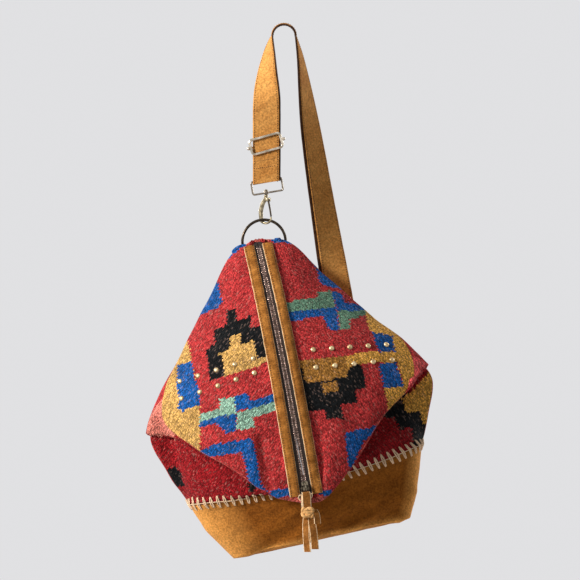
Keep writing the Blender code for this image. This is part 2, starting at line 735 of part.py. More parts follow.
def build_tab(trees, finish):
    """Suede tab folded through the ring, its two ends sewn down the back of the bag."""
    wire_z = RING_CENTRE.z - RING_RADIUS
    bend = RING_WIRE / 2 + GAP + TAB_THICKNESS / 2
    turn_z = wire_z + 1.2 * MM
    y = RING_CENTRE.y
    x = RING_CENTRE.x
    low = wire_z - TAB_LENGTH
    path = []
    for z in (low, low + 9 * MM, low + 18 * MM, wire_z - 7 * MM):
        path.append((max(behind(trees, x + dx, z) for dx in (-TAB_WIDTH / 2, 0, TAB_WIDTH / 2)), z))
    near = [Vector((x, depth + 2 * GAP + TAB_THICKNESS / 2, z)) for depth, z in path]
    over = []
    for i in range(9):
        angle = math.pi * i / 8
        over.append(Vector((x, y - bend * math.cos(angle), turn_z + bend * math.sin(angle))))
    apart = TAB_THICKNESS + GAP
    back = [p + Y_AXIS * apart for p in near]
    back[-1].y = max(back[-1].y, y + bend - 1 * MM)
    points = near + over + back[::-1]
    stations = []
    for i, p in enumerate(points):
        along = points[min(i + 1, len(points) - 1)] - points[max(i - 1, 0)]
        stations.append((p, X_AXIS, along.normalized().cross(X_AXIS)))
    ribbon("ring_tab", stations, TAB_WIDTH, TAB_THICKNESS, finish)


def build_clasp(finish):
    """Wire rectangle in the strap's fold, with a bored boss for the hook's stem."""
    half = STRAP_WIDTH / 2 / math.cos(FOLD_TILT) + 1.2 * MM + CLASP_WIRE / 2
    corner = half - STRAP_WIDTH / 2 / math.cos(FOLD_TILT)
    tilt = Matrix.Rotation(-FOLD_TILT, 3, "Y")
    points = []
    for cx, cz, start in (
        (half - corner, -corner, 90), (half - corner, corner - CLASP_HEIGHT, 0),
        (corner - half, corner - CLASP_HEIGHT, -90), (corner - half, -corner, 180),
    ):
        for step in range(4):
            angle = math.radians(start - 30 * step)
            local = Vector((cx + corner * math.cos(angle), 0, cz + corner * math.sin(angle)))
            points.append(CLASP_BAR + tilt @ local)
    clasp = wire("clasp_loop", points, CLASP_WIRE, finish, cyclic=True)
    combine(clasp, cylinder("clasp_boss", BOSS_CENTRE, Z_AXIS, BOSS_DIAMETER, BOSS_HEIGHT), "UNION")
    bore = STEM_DIAMETER + 2 * GAP
    combine(clasp, cylinder("clasp_bore", BOSS_CENTRE, Z_AXIS, bore, BOSS_HEIGHT * 2), "DIFFERENCE")
    set_origin(clasp, CLASP_BAR)


def hook_point(aside, z):
    """Place in the hook's own plane."""
    return Vector((
        STRAND_X + aside * math.cos(HOOK_TURN), BOSS_CENTRE.y + aside * math.sin(HOOK_TURN), z,
    ))


def build_hook(finish, gate_finish):
    """Snap hook: stem with a head above the boss, one long limb round to the nose, and a gate."""
    head_z = BOSS_CENTRE.z + BOSS_HEIGHT / 2 + GAP
    neck_z = BOSS_CENTRE.z - BOSS_HEIGHT / 2 - GAP
    half = HOOK_WIDTH / 2
    long = HOOK_LENGTH
    outline = [
        (0, neck_z - 1.5 * MM), (-0.8 * MM, neck_z - 0.14 * long), (-half * 0.62, neck_z - 0.3 * long),
        (-half, neck_z - 0.55 * long), (-half * 0.98, neck_z - 0.75 * long),
    ]
    bow = half * 0.98
    for step in range(1, 8):
        angle = math.pi * (1 + step / 8)
        outline.append((bow * math.cos(angle), BOW_Z + bow * 0.8 * (1 + math.sin(angle))))
    nose = (bow, BOW_Z + bow * 0.95)
    outline.append(nose)
    hook = wire("hook_body", [hook_point(u, z) for u, z in outline], HOOK_WIRE, finish)
    stem_top = head_z + 0.6 * MM
    stem_mid = hook_point(0, (stem_top + neck_z - 2 * MM) / 2)
    combine(hook, cylinder("hook_stem", stem_mid, Z_AXIS, STEM_DIAMETER, stem_top - neck_z + 2 * MM), "UNION")
    combine(hook, cylinder("hook_head", hook_point(0, head_z + 0.8 * MM), Z_AXIS, 5 * MM, 1.6 * MM), "UNION")
    collar = cylinder("hook_collar", hook_point(0, neck_z - 1.1 * MM), Z_AXIS, 5.4 * MM, 2.2 * MM)
    combine(hook, collar, "UNION")

    pivot = hook_point(half * 0.42, neck_z - 0.17 * long)
    sideways = Vector((-math.sin(HOOK_TURN), math.cos(HOOK_TURN), 0))
    ear = GATE_BARREL * 0.5
    barrel_length = 2.4 * MM
    across = hook_point(1, 0) - hook_point(0, 0)
    turn = Matrix((across, sideways, Z_AXIS)).transposed().to_4x4()
    ear_aside = barrel_length / 2 + GAP + ear / 2
    ear_high = GATE_BARREL + 1.2 * MM
    for sign in (-1, 1):
        ear_at = hook_point(half * 0.21, pivot.z) + sideways * sign * ear_aside
        size = (half * 0.42 + GATE_BARREL, ear, ear_high)
        combine(hook, block(f"hook_ear_{sign}", Matrix.Translation(ear_at) @ turn, size), "UNION")
    neck_end = half * 0.42 - GATE_BARREL / 2 - GAP
    neck_at = Matrix.Translation(hook_point(neck_end - 1.7 * MM, pivot.z)) @ turn
    combine(hook, block("hook_neck", neck_at, (3.4 * MM, 2 * ear_aside + ear, ear_high)), "UNION")
    pin_hole = cylinder("pin_hole", pivot, sideways, GATE_PIN + 2 * GAP, 20 * MM, 14)
    combine(hook, pin_hole, "DIFFERENCE")

    tip = hook_point(bow + 0.2 * MM, nose[1] + 3 * GAP)
    start = pivot + (tip - pivot).normalized() * GATE_BARREL * 0.3
    gate = wire("hook_gate", [start, start.lerp(tip, 0.5), tip], GATE_WIRE, gate_finish)
    combine(gate, cylinder("gate_barrel", pivot, sideways, GATE_BARREL, barrel_length, 16), "UNION")
    combine(gate, cylinder("gate_bore", pivot, sideways, GATE_PIN + 2 * GAP, 20 * MM, 14), "DIFFERENCE")
    pin = cylinder("gate_pin", pivot, sideways, GATE_PIN, barrel_length + 2 * GAP + 2 * ear, 14)
    CUTTERS.objects.unlink(pin)
    PARTS.objects.link(pin)
    pin.hide_render = False
    pin.display_type = "TEXTURED"
    pin.data.materials.append(gate_finish)
    set_origin(hook, BOSS_CENTRE)
    set_origin(pin, BOSS_CENTRE)
    set_origin(gate, pivot)


def framed(points, outs):
    """Ribbon stations of (centre, wide, out), with out made square to the route."""
    stations = []
    for i, (p, out) in enumerate(zip(points, outs)):
        along = (points[min(i + 1, len(points) - 1)] - points[max(i - 1, 0)]).normalized()
        square = (out - along * out.dot(along)).normalized()
        stations.append((p, along.cross(square), square))
    return stations


def plan_direction(angle):
    return Vector((math.cos(angle), math.sin(angle), 0))


def run_of(route, count):
    """Smooth run through route points of (x, y, z, facing in degrees)."""
    points, outs = [], []
    for t in steps(count):
        place = smooth([Vector(p) for p in route], t)
        points.append(place.to_3d())
        outs.append(plan_direction(math.radians(place[3])))
    return points, outs


def back_room(trees, place, out):
    """Least depth at which the strap clears the bag's back over its whole width."""
    depths = []
    for share in (-0.5, -0.25, 0, 0.25, 0.5):
        aside = share * STRAP_WIDTH
        for dz in (-5 * MM, 0, 5 * MM):
            depths.append(behind(trees, place.x - aside * out.y, place.z + dz) - aside * out.x)
    return max(depths) + STRAP_THICKNESS / 2 + 2 * GAP


def strap_stations(trees):
    """The strap from its fold at the clasp, over the seat, to its end on the back of the base."""
    tilt = math.tan(FOLD_TILT)
    fold = []
    for f in steps(8):
        angle = math.pi * f
        out = Vector((0, math.cos(angle), -math.sin(angle)))
        fold.append((CLASP_BAR + out * FOLD_RADIUS, Vector((1, 0, tilt)), out))
    bend = SEAT_RADIUS + STRAP_THICKNESS / 2
    twist_z = -LEFT_DROP * TWIST_START
    left = (
        (STRAND_X, STRAND_Y, twist_z, 270),
        (STRAND_X * 0.95, STRAND_Y * 0.7, twist_z * 0.63, 230),
        (STRAND_X * 0.45 - bend * 0.52, STRAND_Y * 0.2, twist_z * 0.3, 199),
        (-bend, 0, -SEAT_RADIUS, 180),
    )
    straight = [Vector((STRAND_X, STRAND_Y, z)) for z in (CLASP_BAR.z + 3 * MM, twist_z - 9 * MM)]
    left_points, left_outs = run_of(left, 14)
    points = straight + left_points
    outs = [-Y_AXIS] * 2 + left_outs
    for f in steps(10)[1:-1]:
        angle = math.pi * (1 - f)
        out = Vector((math.cos(angle), 0, math.sin(angle)))
        points.append(out * bend - Z_AXIS * SEAT_RADIUS)
        outs.append(out)
    ridge = BAG_TOP.z
    end = drawn(STRAP_END_POINT)
    right = (
        (bend, 0, -SEAT_RADIUS, 0), (22 * MM, 1 * MM, -48 * MM, -13), (34.6 * MM, 6 * MM, -131 * MM, -40),
        (54 * MM, 14 * MM, ridge + 18 * MM, -61), (72 * MM, 24 * MM, ridge - 85 * MM, -89),
        (end.x - 16 * MM, end.y, ridge - 190 * MM, -90), (end.x - 2 * MM, end.y, end.z + 75 * MM, -96),
        (*end, -99),
    )
    right_points, right_outs = run_of(right, 36)
    for p, out in zip(right_points, right_outs):
        if p.z < ridge - 36 * MM:
            needed = back_room(trees, p, out)
            p.y = needed if p.z < end.z + PATCH_HEIGHT else max(p.y, needed)
    points += right_points
    outs += right_outs
    stations = framed(points, outs)
    first = stations[0]
    stations[0] = (first[0], Vector((1, 0, tilt * 0.6)), first[2])
    return fold + stations


def build_strap(stations, finish, lining):
    layer = (STRAP_THICKNESS - GAP) / 2
    lift = (layer + GAP) / 2
    ribbon("strap_suede", stations, STRAP_WIDTH, layer, finish, lift)
    ribbon("strap_lining", stations, STRAP_WIDTH, layer, lining, -lift)


def build_strap_end(finish):
    """The strap's end: up behind the front strand, round the centre bar and down to its stitched tip."""
    bend = SLIDE_BAR / 2 + GAP + STRAP_END_THICKNESS / 2
    low = CLASP_BAR + Y_AXIS * FOLD_RADIUS
    low_z = CLASP_BAR.z + GAP
    bar = SLIDE_CENTRE
    path = [(low.y, low_z), (low.y, low_z + 8 * MM), (bar.y + bend, bar.z - 10 * MM)]
    for f in steps(8):
        angle = math.pi * f
        path.append((bar.y + bend * math.cos(angle), bar.z + bend * math.sin(angle)))
    path += [(bar.y - bend, bar.z - 10 * MM), (bar.y - bend, bar.z - SEWN_LENGTH)]
    points = [Vector((STRAND_X, y, z)) for y, z in path]
    stations = []
    for i, p in enumerate(points):
        along = (points[min(i + 1, len(points) - 1)] - points[max(i - 1, 0)]).normalized()
        lean = FOLD_TILT if i < 2 else SLIDE_TILT
        stations.append((p, Vector((1, 0, math.tan(lean))), X_AXIS.cross(along)))
    ribbon("strap_end", stations, STRAP_WIDTH, STRAP_END_THICKNESS, finish)


def slide_point(aside, depth, up):
    """Place in the tilted plane of the slide buckle, depth measured from the front strand's middle."""
    return Vector((
        STRAND_X + aside * math.cos(SLIDE_TILT) - up * math.sin(SLIDE_TILT),
        STRAND_Y + depth,
        SLIDE_CENTRE.z + aside * math.sin(SLIDE_TILT) + up * math.cos(SLIDE_TILT),
    ))


def build_slide(finish):
    """Slide buckle: wire frame before the strand, and a bar behind it with a knob at each end."""
    edge = STRAP_WIDTH / 2 / math.cos(SLIDE_TILT)
    front = -(STRAP_THICKNESS / 2 + GAP + SLIDE_WIRE / 2)
    side = edge + SLIDE_BAR + SLIDE_WIRE / 2 - 1.1 * MM
    corner = 4 * MM
    high = SLIDE_HEIGHT / 2 - SLIDE_WIRE / 2
    points = []
    for su, sv, start in ((1, 1, 90), (1, -1, 0), (-1, -1, -90), (-1, 1, 180)):
        for step in range(4):
            angle = math.radians(start - 30 * step)
            u = su * (side - corner) + corner * math.cos(angle)
            v = sv * (high - corner) + corner * math.sin(angle)
            points.append(slide_point(u, front, v))
    frame = wire("slide_frame", points, SLIDE_WIRE, finish, cyclic=True)
    set_origin(frame, SLIDE_CENTRE)

    behind_side = front + SLIDE_WIRE / 2 + GAP + SLIDE_BAR / 2
    depth = SLIDE_CENTRE.y - STRAND_Y
    knob_at = side + SLIDE_KNOB / 2 + 0.6 * MM
    run = [(-knob_at, behind_side), (-side, behind_side), (-edge - 0.5 * MM, depth)]
    run += [(-u, d) for u, d in run[::-1]]
    bar = wire("slide_bar", [slide_point(u, d, 0) for u, d in run], SLIDE_BAR, finish)
    for sign in (-1, 1):
        place = Matrix.Translation(slide_point(sign * knob_at, behind_side, 0))
        knob = ball(f"slide_knob_{sign}", place, SLIDE_KNOB / 2, 10)
        combine(bar, knob, "UNION")
    set_origin(bar, SLIDE_CENTRE)


def build_patch(stations, finish):
    """Suede patch sewn over the strap's end on the back of the base."""
    lift = STRAP_THICKNESS / 2 + GAP + PATCH_THICKNESS / 2
    end = stations[-1][0]
    kept = [st for st in stations if (st[0] - end).length < PATCH_HEIGHT and st[0].z < BAG_TOP.z]
    low = end - (kept[-2][0] - end).normalized() * 6 * MM
    kept.append((low, *kept[-1][1:]))
    ribbon("strap_patch", [(c - o * lift, w, o) for c, w, o in kept], PATCH_WIDTH, PATCH_THICKNESS, finish)


def stud_mesh():
    """Dome with a flat back, its axis along +Z and its back at the origin."""
    mesh = bpy.data.meshes.new("stud")
    bm = bmesh.new()
    bmesh.ops.create_uvsphere(bm, u_segments=10, v_segments=6, radius=STUD_DIAMETER / 2)
    geometry = bm.verts[:] + bm.edges[:] + bm.faces[:]
    bmesh.ops.bisect_plane(bm, geom=geometry, plane_co=(0, 0, 0), plane_no=(0, 0, 1), clear_inner=True)
    bmesh.ops.holes_fill(bm, edges=[e for e in bm.edges if e.is_boundary], sides=0)
    bmesh.ops.scale(bm, vec=(1, 1, STUD_HEIGHT / (STUD_DIAMETER / 2)), verts=bm.verts)
    bmesh.ops.recalc_face_normals(bm, faces=bm.faces)
    bm.to_mesh(mesh)
    bm.free()
    mesh.shade_smooth()
    mesh.set_sharp_from_angle(angle=math.radians(50))
    return mesh


def place_stud(name, mesh, trees, x, z):
    """Set a stud on the wool as seen from the front."""
    at = drawn((x, 0, z))
    start = Vector((at.x, -0.4, at.z))
    hits = [tree.ray_cast(start, Y_AXIS)[:2] for tree in trees]
    place, normal = min((h for h in hits if h[0]), key=lambda h: h[0].y)
    if normal.y > 0:
        normal = -normal
    stud = bpy.data.objects.new(name, mesh)
    PARTS.objects.link(stud)
    stud.location = place + normal * 2 * GAP
    stud.rotation_mode = "QUATERNION"
    stud.rotation_quaternion = normal.to_track_quat("Z", "Y")


def build_studs(trees, finish):
    mesh = stud_mesh()
    mesh.materials.append(finish)
    for row, first, last in STUD_ROWS:
        for i in range(STUDS_IN_ROW):
            f = i / (STUDS_IN_ROW - 1)
            x = first[0] + (last[0] - first[0]) * f
            z = first[1] + (last[1] - first[1]) * f
            place_stud(f"stud_{row}_{i + 1}", mesh, trees, x, z)


def build_stop(finish):
    """Metal stop across both tapes below the slider."""
    height = TAPE_THICKNESS / 2 + GAP + STOP_WIRE / 2
    ends = [ZIP.point(1, side * STOP_WIDTH / 2, height) for side in (-1, 1)]
    stop = wire("zip_stop", ends, STOP_WIRE, finish)
    stop.data.shade_smooth()


for old in list(bpy.data.objects):
    bpy.data.objects.remove(old)
PARTS = collection("shoulder_bag")
CUTTERS = collection("cutters")

RED_WOOL = material("red wool", (0.50, 0.04, 0.05), 0.95)
SUEDE = material("tan suede", (0.50, 0.24, 0.08), 0.95)
LINING = material("brown lining", (0.12, 0.06, 0.03), 0.9)
TAPE = material("zip tape", (0.16, 0.10, 0.06), 0.9)
TEETH = material("zip teeth", (0.20, 0.16, 0.12), 0.4, 0.9)
BRONZE = material("antique bronze", (0.16, 0.13, 0.09), 0.35, 1.0)
BRASS = material("stud brass", (0.45, 0.33, 0.15), 0.35, 1.0)

LEFT_WING = Wing(-1, LEFT_FOLD, LEFT_SIDE)
RIGHT_WING = Wing(1, RIGHT_FOLD, RIGHT_SIDE)
left_tree = build_wool("wool_left", LEFT_WING, RED_WOOL)
right_tree = build_wool("wool_right", RIGHT_WING, RED_WOOL)
base_tree = build_base(SUEDE)
SHELLS = (left_tree, right_tree, base_tree)

build_strip("zip_strip_left", -1, left_tree, SUEDE)
build_strip("zip_strip_right", 1, right_tree, SUEDE)
build_tape("zip_tape_left", -1, TAPE)
build_tape("zip_tape_right", 1, TAPE)
build_teeth("zip_teeth_left", -1, TEETH)
build_teeth("zip_teeth_right", 1, TEETH)
build_stop(BRONZE)
eye_height = build_slider(SLIDER_AT, BRONZE)
THONG_PIVOT = ZIP.point(SLIDER_AT, 0, eye_height)
build_thong(THONG_PIVOT, SUEDE)

build_ring(BRONZE)
build_tab(SHELLS, SUEDE)
build_clasp(BRONZE)
build_hook(BRONZE, TEETH)

strap_line = strap_stations(SHELLS)
build_strap(strap_line, SUEDE, LINING)
build_strap_end(SUEDE)
build_slide(BRONZE)
build_patch(strap_line, SUEDE)
build_studs((left_tree, right_tree), BRASS)
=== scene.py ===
import math

import bmesh
import bpy
from mathutils import Matrix, Vector, noise
from mathutils.bvhtree import BVHTree


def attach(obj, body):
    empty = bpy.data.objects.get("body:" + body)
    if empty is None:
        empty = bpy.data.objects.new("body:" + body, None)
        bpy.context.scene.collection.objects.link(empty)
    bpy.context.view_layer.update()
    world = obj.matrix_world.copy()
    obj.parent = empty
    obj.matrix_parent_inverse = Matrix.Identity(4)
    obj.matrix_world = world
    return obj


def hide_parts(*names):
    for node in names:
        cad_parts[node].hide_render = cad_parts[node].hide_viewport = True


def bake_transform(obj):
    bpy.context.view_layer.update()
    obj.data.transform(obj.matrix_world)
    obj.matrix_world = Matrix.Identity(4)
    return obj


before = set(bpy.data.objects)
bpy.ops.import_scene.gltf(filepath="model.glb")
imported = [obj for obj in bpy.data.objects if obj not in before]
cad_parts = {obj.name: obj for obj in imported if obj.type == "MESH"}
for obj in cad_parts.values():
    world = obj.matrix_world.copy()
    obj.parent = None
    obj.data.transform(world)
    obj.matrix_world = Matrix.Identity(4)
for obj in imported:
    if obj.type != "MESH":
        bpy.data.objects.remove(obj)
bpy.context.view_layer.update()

MM = 0.001
GAP = 0.3 * MM

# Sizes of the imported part, in metres
BAG_WIDTH = 348 * MM
BAG_DEPTH = 142 * MM
BAG_HEIGHT = 402 * MM
DRAWN_SIZE = (348, 142, 402)
DRAWN_TOP = (-29, 0, -271)
WOOL_THICKNESS = 3.0 * MM
SUEDE_THICKNESS = 1.8 * MM
SEAM_GAP = 1.6 * MM
HALVES_GAP = 1.6 * MM

ZIP_RISE = 26 * MM
TAPE_THICKNESS = 0.8 * MM
STRIP_WIDTH = 13 * MM
STRIP_OVER_TAPE = 5.5 * MM
STRIP_SINK = 4.0 * MM
ZIP_SHOW_TOP = 10.5 * MM
ZIP_SHOW_END = 15.0 * MM
SLIDER_LENGTH = 11 * MM
STOP_ROOM = 2.0 * MM

STRAP_WIDTH = 33 * MM
STRAP_THICKNESS = 2.4 * MM
STRAP_END_THICKNESS = 1.6 * MM
SEAT_RADIUS = 13.5 * MM
LEFT_DROP = 197 * MM
STRAND_X = -22.5 * MM
STRAND_Y = 10 * MM
TWIST_START = 0.53
FOLD_TILT = math.radians(9.5)

SLIDE_DROP = 148 * MM
SLIDE_TILT = math.radians(15.8)
SLIDE_HEIGHT = 21 * MM
SLIDE_WIRE = 2.6 * MM
SLIDE_BAR = 2.4 * MM
SLIDE_KNOB = 4.6 * MM
SEWN_LENGTH = 33 * MM

CLASP_WIRE = 2.4 * MM
CLASP_HEIGHT = 16.2 * MM
BOSS_DIAMETER = 6.4 * MM
BOSS_HEIGHT = 4.4 * MM
STEM_DIAMETER = 2.6 * MM
HOOK_WIRE = 3.0 * MM
HOOK_LENGTH = 36 * MM
HOOK_WIDTH = 16 * MM
HOOK_TURN = math.radians(-37)
GATE_WIRE = 2.2 * MM

RING_WIRE = 4.0 * MM
RING_DIAMETER = 58 * MM
RING_SHIFT = -2.5 * MM
RING_SHOW = 1.0 * MM
RING_PLAY = 0.8 * MM
BAG_SHIFT = -4 * MM
TAB_WIDTH = 14 * MM
TAB_THICKNESS = 1.4 * MM
TAB_LENGTH = 34 * MM

STUD_DIAMETER = 7.0 * MM
STUD_HEIGHT = 2.3 * MM
STUDS_IN_ROW = 5
PATCH_HEIGHT = 52 * MM

X_AXIS = Vector((1, 0, 0))
Y_AXIS = Vector((0, 1, 0))
Z_AXIS = Vector((0, 0, 1))

FOLD_RADIUS = CLASP_WIRE / 2 + GAP + STRAP_THICKNESS / 2
CLASP_BAR = Vector((STRAND_X, STRAND_Y + FOLD_RADIUS, -LEFT_DROP + FOLD_RADIUS + STRAP_THICKNESS / 2))
BOSS_CENTRE = CLASP_BAR - Z_AXIS * CLASP_HEIGHT
BOW_Z = BOSS_CENTRE.z - BOSS_HEIGHT / 2 - HOOK_LENGTH
RING_RADIUS = (RING_DIAMETER - RING_WIRE) / 2
RING_TOP_Z = BOW_Z + HOOK_WIRE / 2 + RING_PLAY + RING_WIRE / 2
RING_CENTRE = Vector((
    STRAND_X + RING_SHIFT,
    BOSS_CENTRE.y,
    RING_TOP_Z - math.sqrt(RING_RADIUS ** 2 - RING_SHIFT ** 2),
))
BAG_TOP = Vector((RING_CENTRE.x + BAG_SHIFT, 0, RING_CENTRE.z + RING_SHOW))
SLIDE_BEND = SLIDE_BAR / 2 + GAP + STRAP_END_THICKNESS / 2
SLIDE_CENTRE = Vector((
    STRAND_X,
    STRAND_Y + STRAP_THICKNESS / 2 + GAP + STRAP_END_THICKNESS / 2 + SLIDE_BEND,
    -SLIDE_DROP,
))

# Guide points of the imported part, in millimetres at the drawn size
LEFT_FOLD = (
    (-14, -96, -589), (-62, -88, -557), (-112, -70, -528), (-149, -42, -498),
    (-148, -18, -455), (-122, -4, -400), (-91, 0, -338), (-65, 2, -288),
)
RIGHT_FOLD = (
    (52, -94, -590), (84, -84, -553), (122, -66, -492), (160, -42, -447),
    (153, -20, -402), (112, -4, -367), (54, 0, -316), (8, 2, -274),
)
LEFT_SIDE = ((-147, -12, -556), (-168, -12, -508))
RIGHT_SIDE = ((178, -12, -490), (182, -12, -440))
ZIP_TOP_POINT = (-31.5, -8, -281)
ZIP_END_POINT = (27, -98, -583)
ZIP_BOW = Vector((0.11, -1, 0))
ZIP_STATIONS = (1.03, 0.92, 0.80, 0.66, 0.52, 0.40, 0.28, 0.16, 0.06, -0.03)
SEAM_MIDDLE = (27, -10, -576)
BOTTOM_MIDDLE = (47, -8, -641)
STRAP_END_POINT = (108, 38, -608)
BACK_DEPTHS = ((-271, 7), (-303, 7.5), (-345, 18), (-400, 32), (-500, 44), (-680, 44))
TUCK_DEPTHS = (26, 26, 24, 14)
TUCK_RISE = 9 * MM
BESIDE_ZIP = 14 * MM
WING_BULGE = 13 * MM
SWELL_SHARE = 0.09
WING_SLOPE = math.radians(14)
STUD_ROWS = (
    ((-38.4, -418), (-129.8, -447)),
    ((-36.8, -436), (-127.5, -468)),
    ((36.4, -407), (127.5, -401)),
    ((39.6, -429), (134.5, -420)),
)


def drawn(point):
    """World point of a guide point drawn in millimetres, stretched to the bag's sizes."""
    sizes = (BAG_WIDTH, BAG_DEPTH, BAG_HEIGHT)
    return BAG_TOP + Vector(
        (p - top) * size / mark for p, top, size, mark in zip(point, DRAWN_TOP, sizes, DRAWN_SIZE)
    )


def smooth(points, t):
    """Point at fraction t along the smooth curve through all the points, which are evenly timed."""
    spans = len(points) - 1
    i = max(0, min(int(t * spans), spans - 1))
    f = t * spans - i
    b, c = points[i], points[i + 1]
    a = points[i - 1] if i > 0 else b * 2 - c
    d = points[i + 2] if i + 2 <= spans else c * 2 - b
    bend = (a * 2 - b * 5 + c * 4 - d) * (f * f)
    return (b * 2 + (c - a) * f + bend + (b * 3 - a - c * 3 + d) * f ** 3) * 0.5


def steps(count):
    """Fractions 0 to 1 in count equal steps."""
    return [i / count for i in range(count + 1)]


def full_turn(count):
    """Angles of count equal steps round a circle."""
    return [2 * math.pi * k / count for k in range(count)]


def circle(radius, height, sides):
    """Points of a level circle about the Z axis."""
    return [Vector((radius * math.cos(a), radius * math.sin(a), height)) for a in full_turn(sides)]


def clamp(value):
    """Value held between 0 and 1."""
    return min(max(value, 0), 1)


def ramp(pairs, at):
    """Value at a place between the (place, value) pairs, which run downwards."""
    for (p, v), (q, w) in zip(pairs, pairs[1:]):
        if at >= q:
            break
    return v + (w - v) * clamp((p - at) / (p - q))


def directions(points, closed=False):
    """Direction of a path at each of its points."""
    if closed:
        pairs = zip(points[-1:] + points[:-1], points[1:] + points[:1])
    else:
        pairs = zip(points[:1] + points[:-1], points[1:] + points[-1:])
    return [(after - before).normalized() for before, after in pairs]


def divided(points, pitch, least=1, closed=False):
    """Path with its straight runs cut into equal pieces of about a pitch."""
    path = []
    for a, b in zip(points, points[1:] + points[:1] if closed else points[1:]):
        count = max(least, int((b - a).length / pitch))
        path += [a.lerp(b, i / count) for i in range(count)]
    return path if closed else path + points[-1:]


def smooth_path(points, count):
    """Places evenly timed along the smooth curve through all the points."""
    points = [Vector(p) for p in points]
    return [smooth(points, t) for t in steps(count)]


class Zip:
    """The zip's line: an arc from the top edge to the fold, with places measured from it."""

    def __init__(self):
        top, end = drawn(ZIP_TOP_POINT), drawn(ZIP_END_POINT)
        chord = end - top
        self.down = chord.normalized()
        self.out = (ZIP_BOW - self.down * ZIP_BOW.dot(self.down)).normalized()
        self.across = self.out.cross(self.down)
        self.radius = (chord.length ** 2 / 4 + ZIP_RISE ** 2) / (2 * ZIP_RISE)
        self.half_angle = math.asin(chord.length / 2 / self.radius)
        self.centre = (top + end) / 2 - self.out * (self.radius - ZIP_RISE)
        self.length = 2 * self.half_angle * self.radius

    def frame(self, s):
        """Outward and downward directions at fraction s of the zip, 0 at the top."""
        angle = (2 * s - 1) * self.half_angle
        outward = self.out * math.cos(angle) + self.down * math.sin(angle)
        downward = self.down * math.cos(angle) - self.out * math.sin(angle)
        return outward, downward

    def point(self, s, aside=0.0, height=0.0):
        """Place at fraction s, aside along the across direction and height above the tape's middle."""
        outward, _ = self.frame(s)
        return self.centre + outward * (self.radius + height) + self.across * aside

    def strip_edge(self, s):
        """Half the opening between the strips."""
        return (ZIP_SHOW_TOP + (ZIP_SHOW_END - ZIP_SHOW_TOP) * clamp(s)) / 2

    def wool_edge(self, s):
        """Distance of the wool's edge from the zip's middle."""
        return self.strip_edge(s) + STRIP_OVER_TAPE


ZIP = Zip()
WOOL_HEIGHT = TAPE_THICKNESS / 2  # the wool's outer face beside the tape, above the tape's middle
SLIDER_AT = 1 - (SLIDER_LENGTH / 2 + STOP_ROOM) / ZIP.length
THONG_PIVOT = ZIP.point(SLIDER_AT, 0, 4.15 * MM)


def oval(middle, half_width, half_depth, angle, rise, bow):
    """Point of a rounded-rectangle loop whose height follows its width. Drawn millimetres."""
    square = 2 / 2.7
    c, s = math.cos(angle), math.sin(angle)
    u = math.copysign(abs(c) ** square, c)
    v = math.copysign(abs(s) ** square, s)
    x, y, z = middle
    return Vector((x + half_width * u, y + half_depth * v, z + rise * u + bow * u * u))


def seam_loop(angle):
    """The base seam, from the right side (angle 0) over the back to the left side."""
    return oval(SEAM_MIDDLE, 145, 52, angle, 37.5, 12.5)


def bottom_loop(angle):
    return oval(BOTTOM_MIDDLE, 110, 34, angle, 25.5, -1.5)


